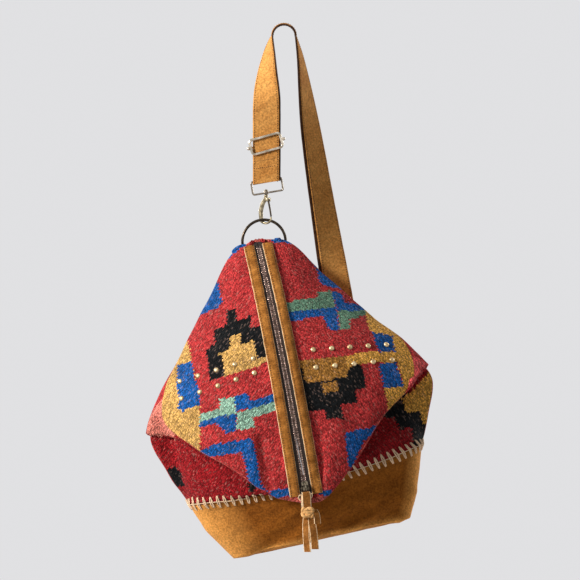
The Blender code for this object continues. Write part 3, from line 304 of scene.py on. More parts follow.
class Wing:
    """One half of the wool body: a smooth net from the base seam, over the fold, to the zip.

    Stations run from the front middle round the side to the back middle.
    """

    def __init__(self, side, fold, side_points):
        self.side = side
        columns = [self.front_end()]
        columns += [self.front(i + 1, fold[i]) for i in range(4)]
        columns.append(self.flank(5, fold[4], side_points))
        columns += [self.back(i + 1, fold[i]) for i in range(5, 8)]
        columns.append(self.back_end())
        self.rows = list(zip(*columns))

    def seam(self, station):
        """Base seam place of a station, kept off the middle by half a gap."""
        quarter = math.pi / 2
        turns = (0, 0.32, 0.58, 0.80, 0.95, 1.04, 1.20, 1.42, 1.70, 2)
        angle = -quarter + self.side * quarter * turns[station]
        place = drawn(seam_loop(angle))
        if station in (0, 9):
            place.x = drawn(SEAM_MIDDLE).x + self.side * HALVES_GAP / 2
        return place + Z_AXIS * SEAM_GAP / 2

    def column(self, station, lower, upper, fold):
        """Net points of a station, from the seam over the fold to the zip."""
        s = ZIP_STATIONS[station]
        edge = ZIP.wool_edge(s)
        near = ZIP.point(s, self.side * edge, WOOL_HEIGHT)
        far_height = WOOL_HEIGHT - BESIDE_ZIP * math.tan(WING_SLOPE)
        far = ZIP.point(s, self.side * (edge + BESIDE_ZIP), far_height)
        bulge = min(WING_BULGE, (fold - far).length * SWELL_SHARE)
        middle = (fold + far) / 2 - Y_AXIS * bulge
        return self.seam(station), lower, upper, fold, middle, far, near

    def end_column(self, station, shift, lower, upper, fold):
        """Net points of the front or back middle, which cross an end of the zip."""
        s = ZIP_STATIONS[station]
        edge = self.side * ZIP.wool_edge(s)
        across = [ZIP.point(s + shift, edge * f, 0) for f in (0.4, 0.75)]
        return self.seam(station), lower, upper, fold, *across, ZIP.point(s, edge, WOOL_HEIGHT)

    def front(self, station, fold_point):
        """Station at the front, where the wool is tucked in under the fold."""
        seam = self.seam(station)
        fold = drawn(fold_point)
        tuck = fold + Y_AXIS * (TUCK_DEPTHS[station - 1] / DRAWN_SIZE[1] * BAG_DEPTH)
        tuck.z = max(fold.z + 8 * MM, seam.z + TUCK_RISE)
        return self.column(station, (seam + tuck) / 2 - Y_AXIS * 4 * MM, tuck, fold)

    def flank(self, station, fold_point, side_points):
        lower, upper = (drawn(p) for p in side_points)
        return self.column(station, lower, upper, drawn(fold_point))

    def back(self, station, fold_point):
        fold = drawn(fold_point)
        inward = 24 * MM * (1 if station < 8 else 0.3)
        upper = self.on_back(fold - Vector((self.side * inward, 0, 12 * MM)))
        lower = self.on_back((self.seam(station) + upper) / 2)
        return self.column(station, lower, upper, fold)

    def front_end(self):
        """The front middle, up to the fold and across the lower end of the zip."""
        seam = self.seam(0)
        fold = ZIP.point(ZIP_STATIONS[0] + 0.012, self.side * HALVES_GAP / 2, -3 * MM)
        tuck = Vector((seam.x, fold.y + TUCK_DEPTHS[0] / DRAWN_SIZE[1] * BAG_DEPTH, seam.z + TUCK_RISE))
        return self.end_column(0, 0.008, (seam + tuck) / 2 - Y_AXIS * 3 * MM, tuck, fold)

    def back_end(self):
        """The back middle, over the top edge and across the upper end of the zip."""
        top = BAG_TOP + Vector((0, 1 * MM, 0))
        top.x = ZIP.point(ZIP_STATIONS[9]).x + self.side * HALVES_GAP / 2
        upper = self.on_back(top - Z_AXIS * 32 * MM)
        lower = self.on_back((self.seam(9) + upper) / 2)
        return self.end_column(9, -0.008, lower, upper, top)

    @staticmethod
    def on_back(place):
        """The place moved to the depth of the back at its height."""
        drawn_z = DRAWN_TOP[2] + (place.z - BAG_TOP.z) * DRAWN_SIZE[2] / BAG_HEIGHT
        return Vector((place.x, ramp(BACK_DEPTHS, drawn_z) * BAG_DEPTH / DRAWN_SIZE[1], place.z))

    def point(self, along, up):
        """Place on the wool, along from the front middle to the back and up from the seam to the zip."""
        return smooth([smooth(row, along) for row in self.rows], up)


def add_object(name, mesh, *finishes):
    obj = bpy.data.objects.new(name, mesh)
    bpy.context.scene.collection.objects.link(obj)
    for finish in finishes:
        mesh.materials.append(finish)
    return obj


def grid_mesh(name, points, closed=False, flip=False):
    """Surface through a grid of points, whose second direction may be closed."""
    rows, columns = len(points), len(points[0])
    faces = []
    for i in range(rows - 1):
        for j in range(columns if closed else columns - 1):
            k = (j + 1) % columns
            face = (i * columns + j, i * columns + k, (i + 1) * columns + k, (i + 1) * columns + j)
            faces.append(face[::-1] if flip else face)
    mesh = bpy.data.meshes.new(name)
    mesh.from_pydata([p for row in points for p in row], [], faces)
    mesh.shade_smooth()
    return mesh


def thicken(obj, thickness, offset):
    """Solidify to a sheet: offset -1 grows inwards and 1 outwards."""
    modifier = obj.modifiers.new("Thickness", "SOLIDIFY")
    modifier.thickness = thickness
    modifier.offset = offset
    modifier.use_rim = True


def closed_up(mesh, faces=()):
    """Add faces, given as vertex numbers, and turn all the mesh's faces outwards."""
    bm = bmesh.new()
    bm.from_mesh(mesh)
    bm.verts.ensure_lookup_table()
    for face in faces:
        bm.faces.new([bm.verts[i] for i in face])
    bmesh.ops.recalc_face_normals(bm, faces=bm.faces)
    bm.to_mesh(mesh)
    bm.free()
    mesh.shade_smooth()


def moved_tree(mesh, moves):
    """Move every vertex, and return the moved surface as a tree to cast rays at."""
    for vertex, move in zip(mesh.vertices, moves):
        vertex.co += move
    return BVHTree.FromPolygons([v.co for v in mesh.vertices], [p.vertices for p in mesh.polygons])


class Strokes:
    """Tubes, turned forms and cast blocks gathered into one mesh."""

    def __init__(self):
        self.points, self.faces = [], []

    def loft(self, rings, closed=False):
        """Skin over rings of points, closed in itself or capped at both ends."""
        start, sides, count = len(self.points), len(rings[0]), len(rings)
        for ring in rings:
            self.points += ring
        for i in range(count if closed else count - 1):
            a, b = start + i * sides, start + (i + 1) % count * sides
            for k in range(sides):
                m = (k + 1) % sides
                self.faces.append((a + k, a + m, b + m, b + k))
        if not closed:
            end = len(self.points)
            self.faces.append(tuple(range(start, start + sides))[::-1])
            self.faces.append(tuple(range(end - sides, end)))

    def tube(self, path, radius, sides=8, closed=False, flat=1.0, up=None):
        """Tube along a path. radius is a number or one for each point; flat squeezes it along up."""
        path = [Vector(p) for p in path]
        radii = [radius] * len(path) if isinstance(radius, (int, float)) else radius
        side = up
        rings = []
        for p, along, reach in zip(path, directions(path, closed), radii):
            if side is None:
                side = Z_AXIS if abs(along.z) < 0.9 else X_AXIS
            side = (side - along * side.dot(along)).normalized()
            other = along.cross(side)
            ring = []
            for angle in full_turn(sides):
                ring.append(p + (side * math.cos(angle) * flat + other * math.sin(angle)) * reach)
            rings.append(ring)
        self.loft(rings, closed)

    def dash(self, centre, along, out, length, radius):
        """Short stitch with rounded ends, flattened against what it lies on."""
        shape = ((-0.5, 0.4, 0.7), (-0.3, 1, 0.25), (0.3, 1, 0.25), (0.5, 0.4, 0.7))
        path = [centre + along * length * f - out * radius * sink for f, _, sink in shape]
        self.tube(path, [radius * share for _, share, _ in shape], sides=6, flat=0.75, up=out)

    def lathe(self, place, profile, sides=28, closed=False):
        """Turned form: profile points of (radius, height) about the Z axis of a matrix."""
        self.loft([[place @ p for p in circle(r, height, sides)] for r, height in profile], closed)

    def box(self, place, size, radius, segments=2):
        """Box with bevelled edges at a matrix."""
        bm = bmesh.new()
        bmesh.ops.create_cube(bm, size=1, matrix=Matrix.Diagonal((*size, 1)))
        bmesh.ops.bevel(bm, geom=bm.edges[:], offset=radius, segments=segments, profile=0.5, affect="EDGES")
        start = len(self.points)
        for index, v in enumerate(bm.verts):
            v.index = index
            self.points.append(place @ v.co)
        for face in bm.faces:
            self.faces.append(tuple(start + v.index for v in face.verts))
        bm.free()

    def make(self, name, finish, angle=60):
        mesh = bpy.data.meshes.new(name)
        mesh.from_pydata(self.points, [], self.faces)
        closed_up(mesh)
        mesh.set_sharp_from_angle(angle=math.radians(angle))
        return add_object(name, mesh, finish)


def rgba(colour):
    return (*colour, 1)


class Nodes:
    """Helper that adds nodes to one tree. An input is a value or another node's output."""

    def __init__(self, tree):
        self.tree = tree

    def node(self, kind, inputs=(), **settings):
        made = self.tree.nodes.new(kind)
        for key, value in settings.items():
            setattr(made, key, value)
        for key, value in dict(inputs).items():
            if isinstance(value, bpy.types.NodeSocket):
                self.tree.links.new(value, made.inputs[key])
            else:
                made.inputs[key].default_value = value
        return made

    def math(self, operation, a, b):
        return self.node("ShaderNodeMath", {0: a, 1: b}, operation=operation).outputs[0]

    def seen_mix(self, plain, seen, share):
        """Shader that shows the seen one by a share to camera, glossy and transmission rays only."""
        rays = self.node("ShaderNodeLightPath").outputs
        factor = rays["Is Camera Ray"]
        for name in ("Is Glossy Ray", "Is Transmission Ray"):
            factor = self.math("MAXIMUM", factor, rays[name])
        part = self.math("MULTIPLY", factor, share)
        return self.node("ShaderNodeMixShader", {0: part, 1: plain, 2: seen}).outputs[0]


class Finish(Nodes):
    """Nodes of one material, which start from its shader."""

    def __init__(self, name, roughness, metallic=0.0):
        self.material = bpy.data.materials.new(name)
        self.material.use_nodes = True
        super().__init__(self.material.node_tree)
        self.shader = self.tree.nodes["Principled BSDF"]
        self.put(Roughness=roughness, Metallic=metallic)
        self.place = self.node("ShaderNodeTexCoord").outputs["Object"]

    def put(self, **values):
        """Set inputs of the shader, with _ for a space in their names."""
        for key, value in values.items():
            self.shader.inputs[key.replace("_", " ")].default_value = value

    def link(self, output, socket):
        self.tree.links.new(output, self.shader.inputs[socket])

    def noise(self, scale, detail=3.0, roughness=0.5, place=None):
        inputs = {"Vector": place or self.place, "Scale": scale, "Detail": detail, "Roughness": roughness}
        return self.node("ShaderNodeTexNoise", inputs).outputs["Fac"]

    def turned(self, angles, scale=(1, 1, 1)):
        """Object place turned, then stretched."""
        turn = self.node("ShaderNodeMapping", {"Vector": self.place, "Rotation": angles})
        return self.node("ShaderNodeMapping", {"Vector": turn.outputs[0], "Scale": scale}).outputs[0]

    def ribs(self, lean, scale, distortion, detail, direction):
        """Fine parallel ribs that lean by an angle."""
        inputs = {
            "Vector": self.turned((0, lean, 0)), "Scale": scale, "Distortion": distortion, "Detail": detail,
        }
        return self.node("ShaderNodeTexWave", inputs, bands_direction=direction).outputs["Fac"]

    def span(self, value, low, high, to_low, to_high):
        inputs = {"Value": value, "From Min": low, "From Max": high, "To Min": to_low, "To Max": to_high}
        return self.node("ShaderNodeMapRange", inputs).outputs["Result"]

    def mix(self, factor, a, b, blend="MIX"):
        inputs = {0: factor, 6: a, 7: b}
        return self.node("ShaderNodeMix", inputs, data_type="RGBA", blend_type=blend).outputs[2]

    def shade(self, colour, factor):
        """Colour made lighter or darker by a factor."""
        grey = self.node("ShaderNodeCombineColor", {0: factor, 1: factor, 2: factor}).outputs[0]
        return self.mix(1.0, colour, grey, "MULTIPLY")

    def dyed(self, colour):
        """Colour that varies a little from place to place."""
        lighter = [min(1, c * 1.12) for c in colour]
        return self.mix(self.span(self.noise(90, 2), 0.35, 0.65, 0, 1), rgba(colour), rgba(lighter))

    def bump(self, height, strength, distance, under=None):
        inputs = {"Height": height, "Strength": strength, "Distance": distance}
        if under is not None:
            inputs["Normal"] = under
        return self.node("ShaderNodeBump", inputs).outputs[0]


def wool_finish(name, lean, plain=None):
    """Flat weave in wool: slanting knots that vary in dye, with painted shade in the gaps between them and
    pale flecks painted as highlights.
    """
    f = Finish(name, 0.95)
    if plain is None:
        weave = f.node("ShaderNodeVertexColor", layer_name="weave").outputs["Color"]
    else:
        weave = f.dyed(plain)
    knots = f.turned((0, lean, 0), (310, 720, 720))
    wobble = f.span(f.noise(230, 2), 0.3, 0.7, -0.25, 0.25)
    bent = f.node("ShaderNodeVectorMath", {0: knots, 1: wobble}, operation="ADD").outputs[0]
    cells = f.node("ShaderNodeTexVoronoi", {"Vector": bent, "Scale": 1.0, "Randomness": 0.62})
    tone = f.node("ShaderNodeSeparateColor", {0: cells.outputs["Color"]})
    dye = f.span(tone.outputs[0], 0, 1, 0.56, 1.46)
    # Painted shade: the gaps between the knots are darkened.
    gap_shade = f.span(cells.outputs["Distance"], 0.2, 0.75, 1.14, 0.30)
    fading = f.span(f.noise(26, 3), 0.3, 0.7, 0.84, 1.14)
    shade = f.math("MULTIPLY", f.math("MULTIPLY", dye, gap_shade), fading)
    colour = f.shade(weave, shade)
    # Painted highlights: pale flecks on some of the knots.
    fleck_highlight = f.span(tone.outputs[1], 0.84, 1.0, 0, 0.16)
    colour = f.mix(fleck_highlight, colour, (0.80, 0.52, 0.42, 1))
    f.link(colour, "Base Color")
    height = f.span(cells.outputs["Distance"], 0.0, 0.8, 1.0, 0.0)
    knotty = f.bump(height, 1.0, 0.0010)
    f.link(f.bump(f.noise(1700, 2), 0.3, 0.0004, knotty), "Normal")
    f.put(Specular_IOR_Level=0.08, Sheen_Weight=0.04, Sheen_Roughness=0.5)
    return f.material


def suede_finish(name, light, dark, blotch=16.0, wear_and_light_colour=None):
    """Brushed suede: cloudy patches, brushed streaks and a fine nap, paler where a painted layer marks wear
    and painted light.
    """
    f = Finish(name, 0.92)
    cloud = f.span(f.noise(blotch, 5, 0.6), 0.32, 0.68, 0, 1)
    streak = f.span(f.noise(1.0, 4, 0.6, f.turned((0, 0.5, 0), (30, 30, 95))), 0.35, 0.68, 0, 1)
    share = f.math("MULTIPLY", f.math("ADD", cloud, streak), 0.5)
    colour = f.mix(share, rgba(dark), rgba(light))
    if wear_and_light_colour is not None:
        wear_and_light = f.node("ShaderNodeVertexColor", layer_name="wear_and_light").outputs["Color"]
        uneven = f.span(f.noise(60, 4, 0.6), 0.3, 0.7, 0.75, 1.2)
        colour = f.mix(f.math("MULTIPLY", wear_and_light, uneven), colour, rgba(wear_and_light_colour))
    nap = f.span(f.noise(430, 3, 0.65), 0.33, 0.67, 0.62, 1.36)
    f.link(f.shade(colour, nap), "Base Color")
    soft = f.bump(f.noise(240, 4, 0.6), 0.35, 0.0005)
    f.link(f.bump(f.noise(1700, 2), 0.5, 0.0003, soft), "Normal")
    f.put(Specular_IOR_Level=0.06, Sheen_Weight=0.05, Sheen_Roughness=0.4)
    return f.material


def metal_finish(name, light, dark, roughness, blotch=300.0):
    """Antique metal: dark in the hollows of its patina, polished where it rubs."""
    f = Finish(name, roughness, 1.0)
    patina = f.span(f.noise(blotch, 4, 0.6), 0.35, 0.65, 0, 1)
    f.link(f.mix(patina, rgba(dark), rgba(light)), "Base Color")
    f.link(f.span(f.noise(blotch * 1.7, 3), 0.3, 0.7, roughness - 0.1, roughness + 0.12), "Roughness")
    f.link(f.bump(f.noise(1200, 3), 0.12, 0.0002), "Normal")
    return f.material


def thread_finish(name, colour, twist):
    """Twisted thread or twine: strands that run across it at a slant."""
    f = Finish(name, 0.85)
    wave = f.ribs(0.6, twist / 6.3, 1.5, 2.0, "X")
    shade = f.math("MULTIPLY", f.span(wave, 0, 1, 0.66, 1.15), f.span(f.noise(240, 3), 0.3, 0.7, 0.85, 1.15))
    f.link(f.shade(f.dyed(colour), shade), "Base Color")
    f.link(f.bump(wave, 0.6, 0.0005), "Normal")
    return f.material


def tape_finish(name, colour):
    """Woven zip tape: fine slanting ribs."""
    f = Finish(name, 0.9)
    rib = f.ribs(0.2, 260.0, 0.6, 1.0, "Z")
    f.link(f.shade(f.dyed(colour), f.span(rib, 0, 1, 0.7, 1.2)), "Base Color")
    f.link(f.bump(rib, 0.4, 0.0004), "Normal")
    return f.material


# Fields of colour of the weave as seen from the front. The chart counts 1.25 mm steps to the
# right and down from the top left corner of the view.
CHART_STEP = 1.25 * MM
CHART_X, CHART_Z = 284, 25
CHART_LIFT = BAG_TOP.z + 271 * MM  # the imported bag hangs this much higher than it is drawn

RED = (0.58, 0.045, 0.045)
# Painted shade: a darker copy of the red, the ground of the lower panels.
SHADED_RED = (0.38, 0.014, 0.018)
# Painted light: a paler copy of the red on the lit left side panel.
LIT_SIDE_RED = (0.92, 0.27, 0.20)
BLUE = (0.012, 0.12, 0.42)
GREEN = (0.35, 0.59, 0.44)
GOLD = (0.80, 0.45, 0.13)
# Painted shade: a darker copy of the gold for the right wing.
SHADED_GOLD = (0.47, 0.21, 0.042)
BLACK = (0.009, 0.010, 0.011)
# Painted highlight for the edge of the front fold.
FOLD_HIGHLIGHT_RED = (0.85, 0.24, 0.15)
# Painted shade: a darker copy of the green for the right wing.
SHADED_GREEN = (0.17, 0.33, 0.22)
HEM_RED = (0.66, 0.13, 0.10)
# Painted light: a brighter copy of the gold for the lit parts of the right wing.
LIT_GOLD = (0.95, 0.47, 0.085)
LIT_RED = (0.76, 0.10, 0.10)

LEFT_FLAP_FIELDS = (
    (BLUE, ((170, 280), (218, 283), (221, 298), (223, 300), (222, 306), (212, 311), (204, 315), (170, 332))),
    (BLUE, ((226, 238), (246, 242), (245, 248), (239, 250.5), (234.5, 254.5), (226, 262))),
    (GOLD, (
        (140, 340), (186, 338), (190, 350), (192, 363), (200.5, 405), (200.5, 450), (203, 452), (203, 470),
        (140, 470),
    )),
    (BLACK, (
        (226.8, 311.5), (235.6, 309), (237, 322), (251.7, 316.5), (250.5, 330), (262, 326), (274, 322),
        (276, 352), (258, 360), (225, 377), (210.5, 382), (206.5, 350.5), (215.4, 345), (213.7, 331.5),
        (226.8, 326),
    )),
    (GOLD, (
        (230.5, 337), (239.8, 334), (241.8, 346), (253.8, 340.5), (256.5, 355), (258, 360), (276, 354),
        (276, 360), (242, 372.2), (225.6, 377), (222.8, 357), (218.6, 355), (230.5, 349.4),
    )),
    (BLUE, (
        (178, 367), (192, 362), (194.2, 377.6), (198.5, 388.4), (200.4, 404.7), (183.4, 411.7), (178, 409),
        (180, 400), (176.9, 386.3),
    )),
    (GREEN, (
        (200.2, 414.4), (220.8, 409), (219.7, 400.3), (234.3, 396.4), (237, 413), (228.9, 415.5),
        (200.7, 422.5),
    )),
    (BLUE, (
        (199.6, 422.5), (228.9, 415), (237, 412.8), (236.5, 430.7), (226.7, 433), (220.2, 427.5),
        (215.9, 423.1), (199.6, 428),
    )),
    (BLUE, (
        (234.3, 396.4), (246.3, 393), (250.6, 401.8), (280, 393), (280, 401.4), (239.7, 411.2),
        (237, 412.5),
    )),
    (GREEN, (
        (238.1, 412.3), (280, 401), (281, 409), (252.8, 417.2), (254.9, 426.4), (240.8, 430.6),
        (236.5, 429),
    )),
    (BLUE, (
        (200, 452.5), (212.7, 445.4), (250.3, 438.4), (253, 440), (256.6, 454.5), (261.2, 483.6),
        (270, 494.5), (258, 492), (249, 483), (245.4, 463), (241.8, 452.1), (213.9, 456.8), (200, 460),
    )),
    (BLUE, ((267, 495), (273.3, 490), (297, 485.5), (298, 494), (278, 498))),
    (HEM_RED, ((274, 498.5), (300, 495.5), (312, 496), (312, 508), (270, 508))),
)
RIGHT_FLAP_FIELDS = (
    (BLUE, ((272, 236), (296, 236), (291, 246), (284.5, 242.6), (281, 244), (273, 245))),
    (BLUE, (
        (307, 258), (314, 266), (318, 274), (319.5, 284), (326, 287.5), (335, 289.5), (344, 291),
        (350, 283), (330, 262), (312, 250),
    )),
    (SHADED_GREEN, (
        (284, 303.4), (318.9, 298.9), (316.8, 293), (331.3, 292.6), (333.7, 299.9), (336.2, 309.4),
        (319.9, 309.4), (285, 313),
    )),
    (BLUE, (
        (286, 313), (319.9, 309.4), (336.2, 309.2), (339.3, 330.5), (329.1, 330.8), (323, 318.3),
        (318.9, 317.2), (288, 323),
    )),
    (BLUE, (
        (331.3, 293), (341.3, 294.8), (345.4, 304), (364, 306), (368, 312.4), (348.5, 313.2), (338, 311.8),
    )),
    (SHADED_GREEN, ((337, 312), (368, 312), (368, 316.4), (349.7, 320.3), (350.2, 330.8), (340.3, 331))),
    (LIT_GOLD, (
        (364.5, 304), (366.5, 322), (369, 330), (373, 334), (391, 337), (396, 354), (396.5, 363),
        (403.5, 387), (383.5, 389.5), (386.8, 401.5), (388.5, 415), (440, 415), (440, 340), (405, 310),
        (380, 296),
    )),
    (SHADED_GOLD, (
        (293, 361.4), (332, 358.6), (360.7, 354), (378, 352.4), (397, 353.5), (398, 363), (378, 363.6),
        (360.7, 364), (348.5, 368), (346.5, 376.8), (332, 380.4), (309.7, 383.5), (304.6, 381.5),
        (302, 369), (294, 369),
    )),
    (LIT_GOLD, (
        (346, 356.4), (360.7, 354), (378, 352.4), (397, 353.5), (398, 363), (360.7, 364), (347, 368),
    )),
    (BLACK, (
        (294, 368), (302, 368.3), (304.8, 381.8), (309.7, 383.5), (332.1, 380.2), (346.5, 376.7),
        (348.5, 368.3), (360.7, 364.3), (363.8, 377.4), (365, 389.2), (354, 390.6), (357.7, 404),
        (340.7, 405.3), (343.2, 419), (326.2, 419.9), (325, 410), (298, 412.5),
    )),
    (SHADED_GOLD, ((320.7, 383.8), (336.4, 381.3), (339, 391.9), (324, 394.2))),
    (BLUE, ((371.7, 333.4), (391.5, 336.8), (395.6, 353.2), (378, 352.2))),
    (BLUE, ((378, 364), (395.5, 363.3), (402.8, 386.8), (383.4, 389))),
    (BLUE, (
        (344.4, 433.4), (378, 425.5), (374.7, 431), (362.6, 442), (357.7, 454), (350.4, 472), (347.6, 462),
    )),
    (BLUE, ((318, 489.5), (336, 490.5), (334, 495.5), (318, 494.5))),
    (HEM_RED, ((296, 497), (330, 496), (330, 508), (296, 508))),
)
LEFT_LOWER_FIELDS = (
    (LIT_SIDE_RED, ((130, 330), (176, 330), (176, 441), (170, 438), (148, 436), (130, 436))),
    (BLACK, ((160, 474), (177.6, 467.7), (182.4, 477.6), (184.4, 486.2), (177.6, 488), (160, 495))),
    (BLACK, ((247.8, 483), (253, 483), (257, 489), (249.5, 494))),
)
RIGHT_LOWER_FIELDS = (
    (LIT_RED, ((398, 330), (440, 330), (440, 366), (426, 367), (410, 387), (398, 394))),
    (LIT_GOLD, (
        (401, 399), (412, 392), (428, 374), (440, 374), (440, 430), (423, 427), (419.5, 411.2),
        (406, 413.8),
    )),
    (BLACK, (
        (412.4, 390.4), (397.7, 397.9), (384, 412), (384.4, 418.7), (394, 417.9), (400, 430.8),
        (411, 428.4), (413.4, 446), (430, 446), (430, 425), (423, 426), (419.5, 411.2), (406.2, 413.8),
        (401.3, 399),
    )),
)
BACK_TOP_FIELDS = (
    (BLUE, ((222, 228), (247, 228), (247, 251), (239, 256), (222, 262))),
    (BLUE, ((271, 228), (302, 228), (300, 254), (284, 248), (271, 246))),
)
BACK_MIDDLE = (300, 398)
BACK_STEP = (13, 11)

# Slope of the weft in the chart, the height of one row and how far a field's edge runs in and out
LEFT_WEFT = -0.30
RIGHT_WEFT = -0.10
ROW_HEIGHT = 1.9
EDGE_TOOTH = 1.1
FRONT_END = 0.56  # share of the way round a wing where its front creases end


def chart(place):
    """Chart place of a world point."""
    return CHART_X + place.x / CHART_STEP, CHART_Z - (place.z - CHART_LIFT) / CHART_STEP


def inside(outline, x, y):
    """Whether a point lies inside a closed outline."""
    within = False
    for (x1, y1), (x2, y2) in zip(outline, outline[1:] + outline[:1]):
        if (y1 > y) != (y2 > y) and x < (x2 - x1) * (y - y1) / (y2 - y1) + x1:
            within = not within
    return within


def back_colour(x, y):
    """Stepped diamonds on the back, one inside the other."""
    du = abs(x - BACK_MIDDLE[0]) / BACK_STEP[0]
    dv = abs(y - BACK_MIDDLE[1]) / BACK_STEP[1]
    ring = int(du) + int(dv)
    for limit, colour in ((2, GOLD), (5, BLACK), (7, RED), (8, BLUE), (9, GREEN)):
        if ring < limit:
            return colour
    return RED


def weave_colour(side, part, place):
    """Colour of the wool at a place: part is flap, lower or back."""
    x, y = chart(place)
    slope = LEFT_WEFT if side < 0 else RIGHT_WEFT
    row = math.floor((y - slope * x) / ROW_HEIGHT)
    tooth = EDGE_TOOTH if row % 2 else -EDGE_TOOTH
    tooth += noise.noise(Vector((row * 0.37, side * 5, 0.5))) * 0.8
    x += tooth * 0.6
    y = (row + 0.5) * ROW_HEIGHT + slope * x
    if part == "back":
        fields = BACK_TOP_FIELDS
        colour = back_colour(x, y)
    elif part == "flap":
        fields = LEFT_FLAP_FIELDS if side < 0 else RIGHT_FLAP_FIELDS
        colour = RED
    else:
        fields = LEFT_LOWER_FIELDS if side < 0 else RIGHT_LOWER_FIELDS
        colour = SHADED_RED
    for field_colour, outline in fields:
        if inside(outline, x, y):
            colour = field_colour
    return colour


# Soft creases of the wool: chart ends, half width in chart steps, and height in millimetres
LEFT_CREASES = (
    ((262, 442), (269, 487), 6.5, -4.8),
    ((251, 436), (258, 482), 6, 1.6),
    ((205, 318), (192, 350), 10, 1.2),
    ((240, 262), (228, 300), 12, 1.0),
    ((176, 418), (200, 436), 9, -1.2),
)
RIGHT_CREASES = (
    ((300, 262), (330, 296), 10, -1.4),
    ((352, 320), (382, 338), 8, 1.2),
    ((366, 368), (352, 420), 10, -1.4),
    ((338, 430), (326, 476), 9, 1.4),
    ((318, 440), (312, 480), 7, -1.4),
)
LOWER_CREASES = (
    ((170, 452), (215, 470), 8, -1.6),
    ((180, 480), (240, 480), 9, 1.4),
    ((400, 400), (380, 440), 8, -1.4),
)

# Folds that hang over the side panels: chart ends, and the height of the step at them
SIDE_FOLDS = (
    ((148, 436), (170, 438), 3.2),
    ((170, 438), (200, 450), 2.0),
    ((426, 368), (410, 384), -3.0),
    ((410, 384), (396, 394), -2.4),
)


def fold_height(x, y):
    """Overhang at the side folds: raised above the line and sunk below it."""
    total = 0
    for (x1, y1), (x2, y2), height in SIDE_FOLDS:
        length = math.hypot(x2 - x1, y2 - y1)
        along = ((x - x1) * (x2 - x1) + (y - y1) * (y2 - y1)) / length
        below = ((x2 - x1) * (y - y1) - (y2 - y1) * (x - x1)) / length
        past = max(-along, along - length, 0)
        fade = math.exp(-(past / 6) ** 2)
        if height < 0:
            below = -below
        step = math.exp(below / 9) if below < 0 else -math.exp(-below / 7)
        total += abs(height) * fade * step
    return total * MM


def crease_height(creases, x, y):
    """Height of all the creases together at a place of the chart."""
    total = 0
    for (x1, y1), (x2, y2), half_width, height in creases:
        ax, ay = x2 - x1, y2 - y1
        f = clamp(((x - x1) * ax + (y - y1) * ay) / (ax * ax + ay * ay))
        dx, dy = x - x1 - ax * f, y - y1 - ay * f
        total += height * math.exp(-(dx * dx + dy * dy) / (half_width * half_width))
    return total * MM


def wool_height(side, along, up, place):
    """Height of creases, folds and unevenness at a place of a wing, and its fading at the edges."""
    x, y = chart(place)
    fade = clamp((0.93 - up) / 0.1) * min(1, up / 0.08)
    fade *= min(1, along / 0.06) * min(1, (1 - along) / 0.05)
    height = 0
    if up >= 0.5:
        height = crease_height(LEFT_CREASES if side < 0 else RIGHT_CREASES, x, y)
    elif along < FRONT_END:
        height = crease_height(LOWER_CREASES, x, y)
    if up < 0.49 and along < FRONT_END:
        height += fold_height(x, y)
    height += 0.9 * MM * noise.noise(place * 22) + 0.35 * MM * noise.noise(place * 60)
    return height, fade


def paint_weave(mesh, side, ups, across):
    """Give each face of the wool the colour of the weave at its middle, with a painted highlight along the
    front fold.
    """
    paint = mesh.color_attributes.new("weave", "FLOAT_COLOR", "CORNER")
    values = []
    for index, face in enumerate(mesh.polygons):
        up = ups[index // across]
        along = (index % across) / across
        part = "flap" if up >= 0.5 else "back" if along > 0.52 else "lower"
        colour = weave_colour(side, part, face.center)
        # Painted highlight: the faces along the front fold are lightened.
        if abs(up - 0.5) < 0.007 and along < 0.45:
            colour = [c + (w - c) * 0.4 for c, w in zip(colour, FOLD_HIGHLIGHT_RED)]
        values.extend(rgba(colour) * len(face.vertices))
    paint.data.foreach_set("color", values)


def build_wool(name, wing, finish, across=216, low_rows=50, high_rows=124):
    """One half of the wool body, fine enough for the stepped edges of its fields."""
    ups = [0.5 * f for f in steps(low_rows)[:-1]] + [0.5 + 0.5 * f for f in steps(high_rows)]
    columns = []
    for along in steps(across):
        guides = [smooth(row, along) for row in wing.rows]
        columns.append([smooth(guides, up) for up in ups])
    mesh = grid_mesh(name, list(zip(*columns)), flip=wing.side < 0)
    moves = []
    for index, vertex in enumerate(mesh.vertices):
        up = ups[index // (across + 1)]
        along = (index % (across + 1)) / across
        height, fade = wool_height(wing.side, along, up, vertex.co)
        moves.append(vertex.normal * height * fade)
    tree = moved_tree(mesh, moves)
    paint_weave(mesh, wing.side, ups, across)
    obj = add_object(name, mesh, finish)
    thicken(obj, WOOL_THICKNESS, -1)
    return obj, tree


def surface_height(tree, s, aside):
    """Highest place of a surface above the tape's middle, round a place on the zip."""
    heights = [WOOL_HEIGHT - STRIP_SINK]
    for ds in (-0.02, 0, 0.02):
        outward, _ = ZIP.frame(s + ds)
        for da in (-1 * MM, 0, 1 * MM):
            hit = tree.ray_cast(ZIP.point(s + ds, aside + da, 20 * MM), -outward, 30 * MM)[0]
            if hit:
                heights.append((hit - ZIP.point(s + ds, aside + da)).dot(outward))
    return max(heights)


def behind(trees, x, z):
    """Depth of the bag's back at a place, seen from behind."""
    start = Vector((x, 0.3, z))
    hits = [tree.ray_cast(start, -Y_AXIS)[0] for tree in trees]
    return max((hit.y for hit in hits if hit), default=0.0)


def framed(points, outs):
    """Ribbon stations of (centre, wide, out), with out made square to the route."""
    stations = []
    for p, along, out in zip(points, directions(points), outs):
        square = (out - along * out.dot(along)).normalized()
        stations.append((p, along.cross(square), square))
    return stations


def run_of(route, count):
    """Smooth run through route points of (x, y, z, facing in degrees)."""
    points, outs = [], []
    for place in smooth_path(route, count):
        facing = math.radians(place[3])
        points.append(place.to_3d())
        outs.append(Vector((math.cos(facing), math.sin(facing), 0)))
    return points, outs


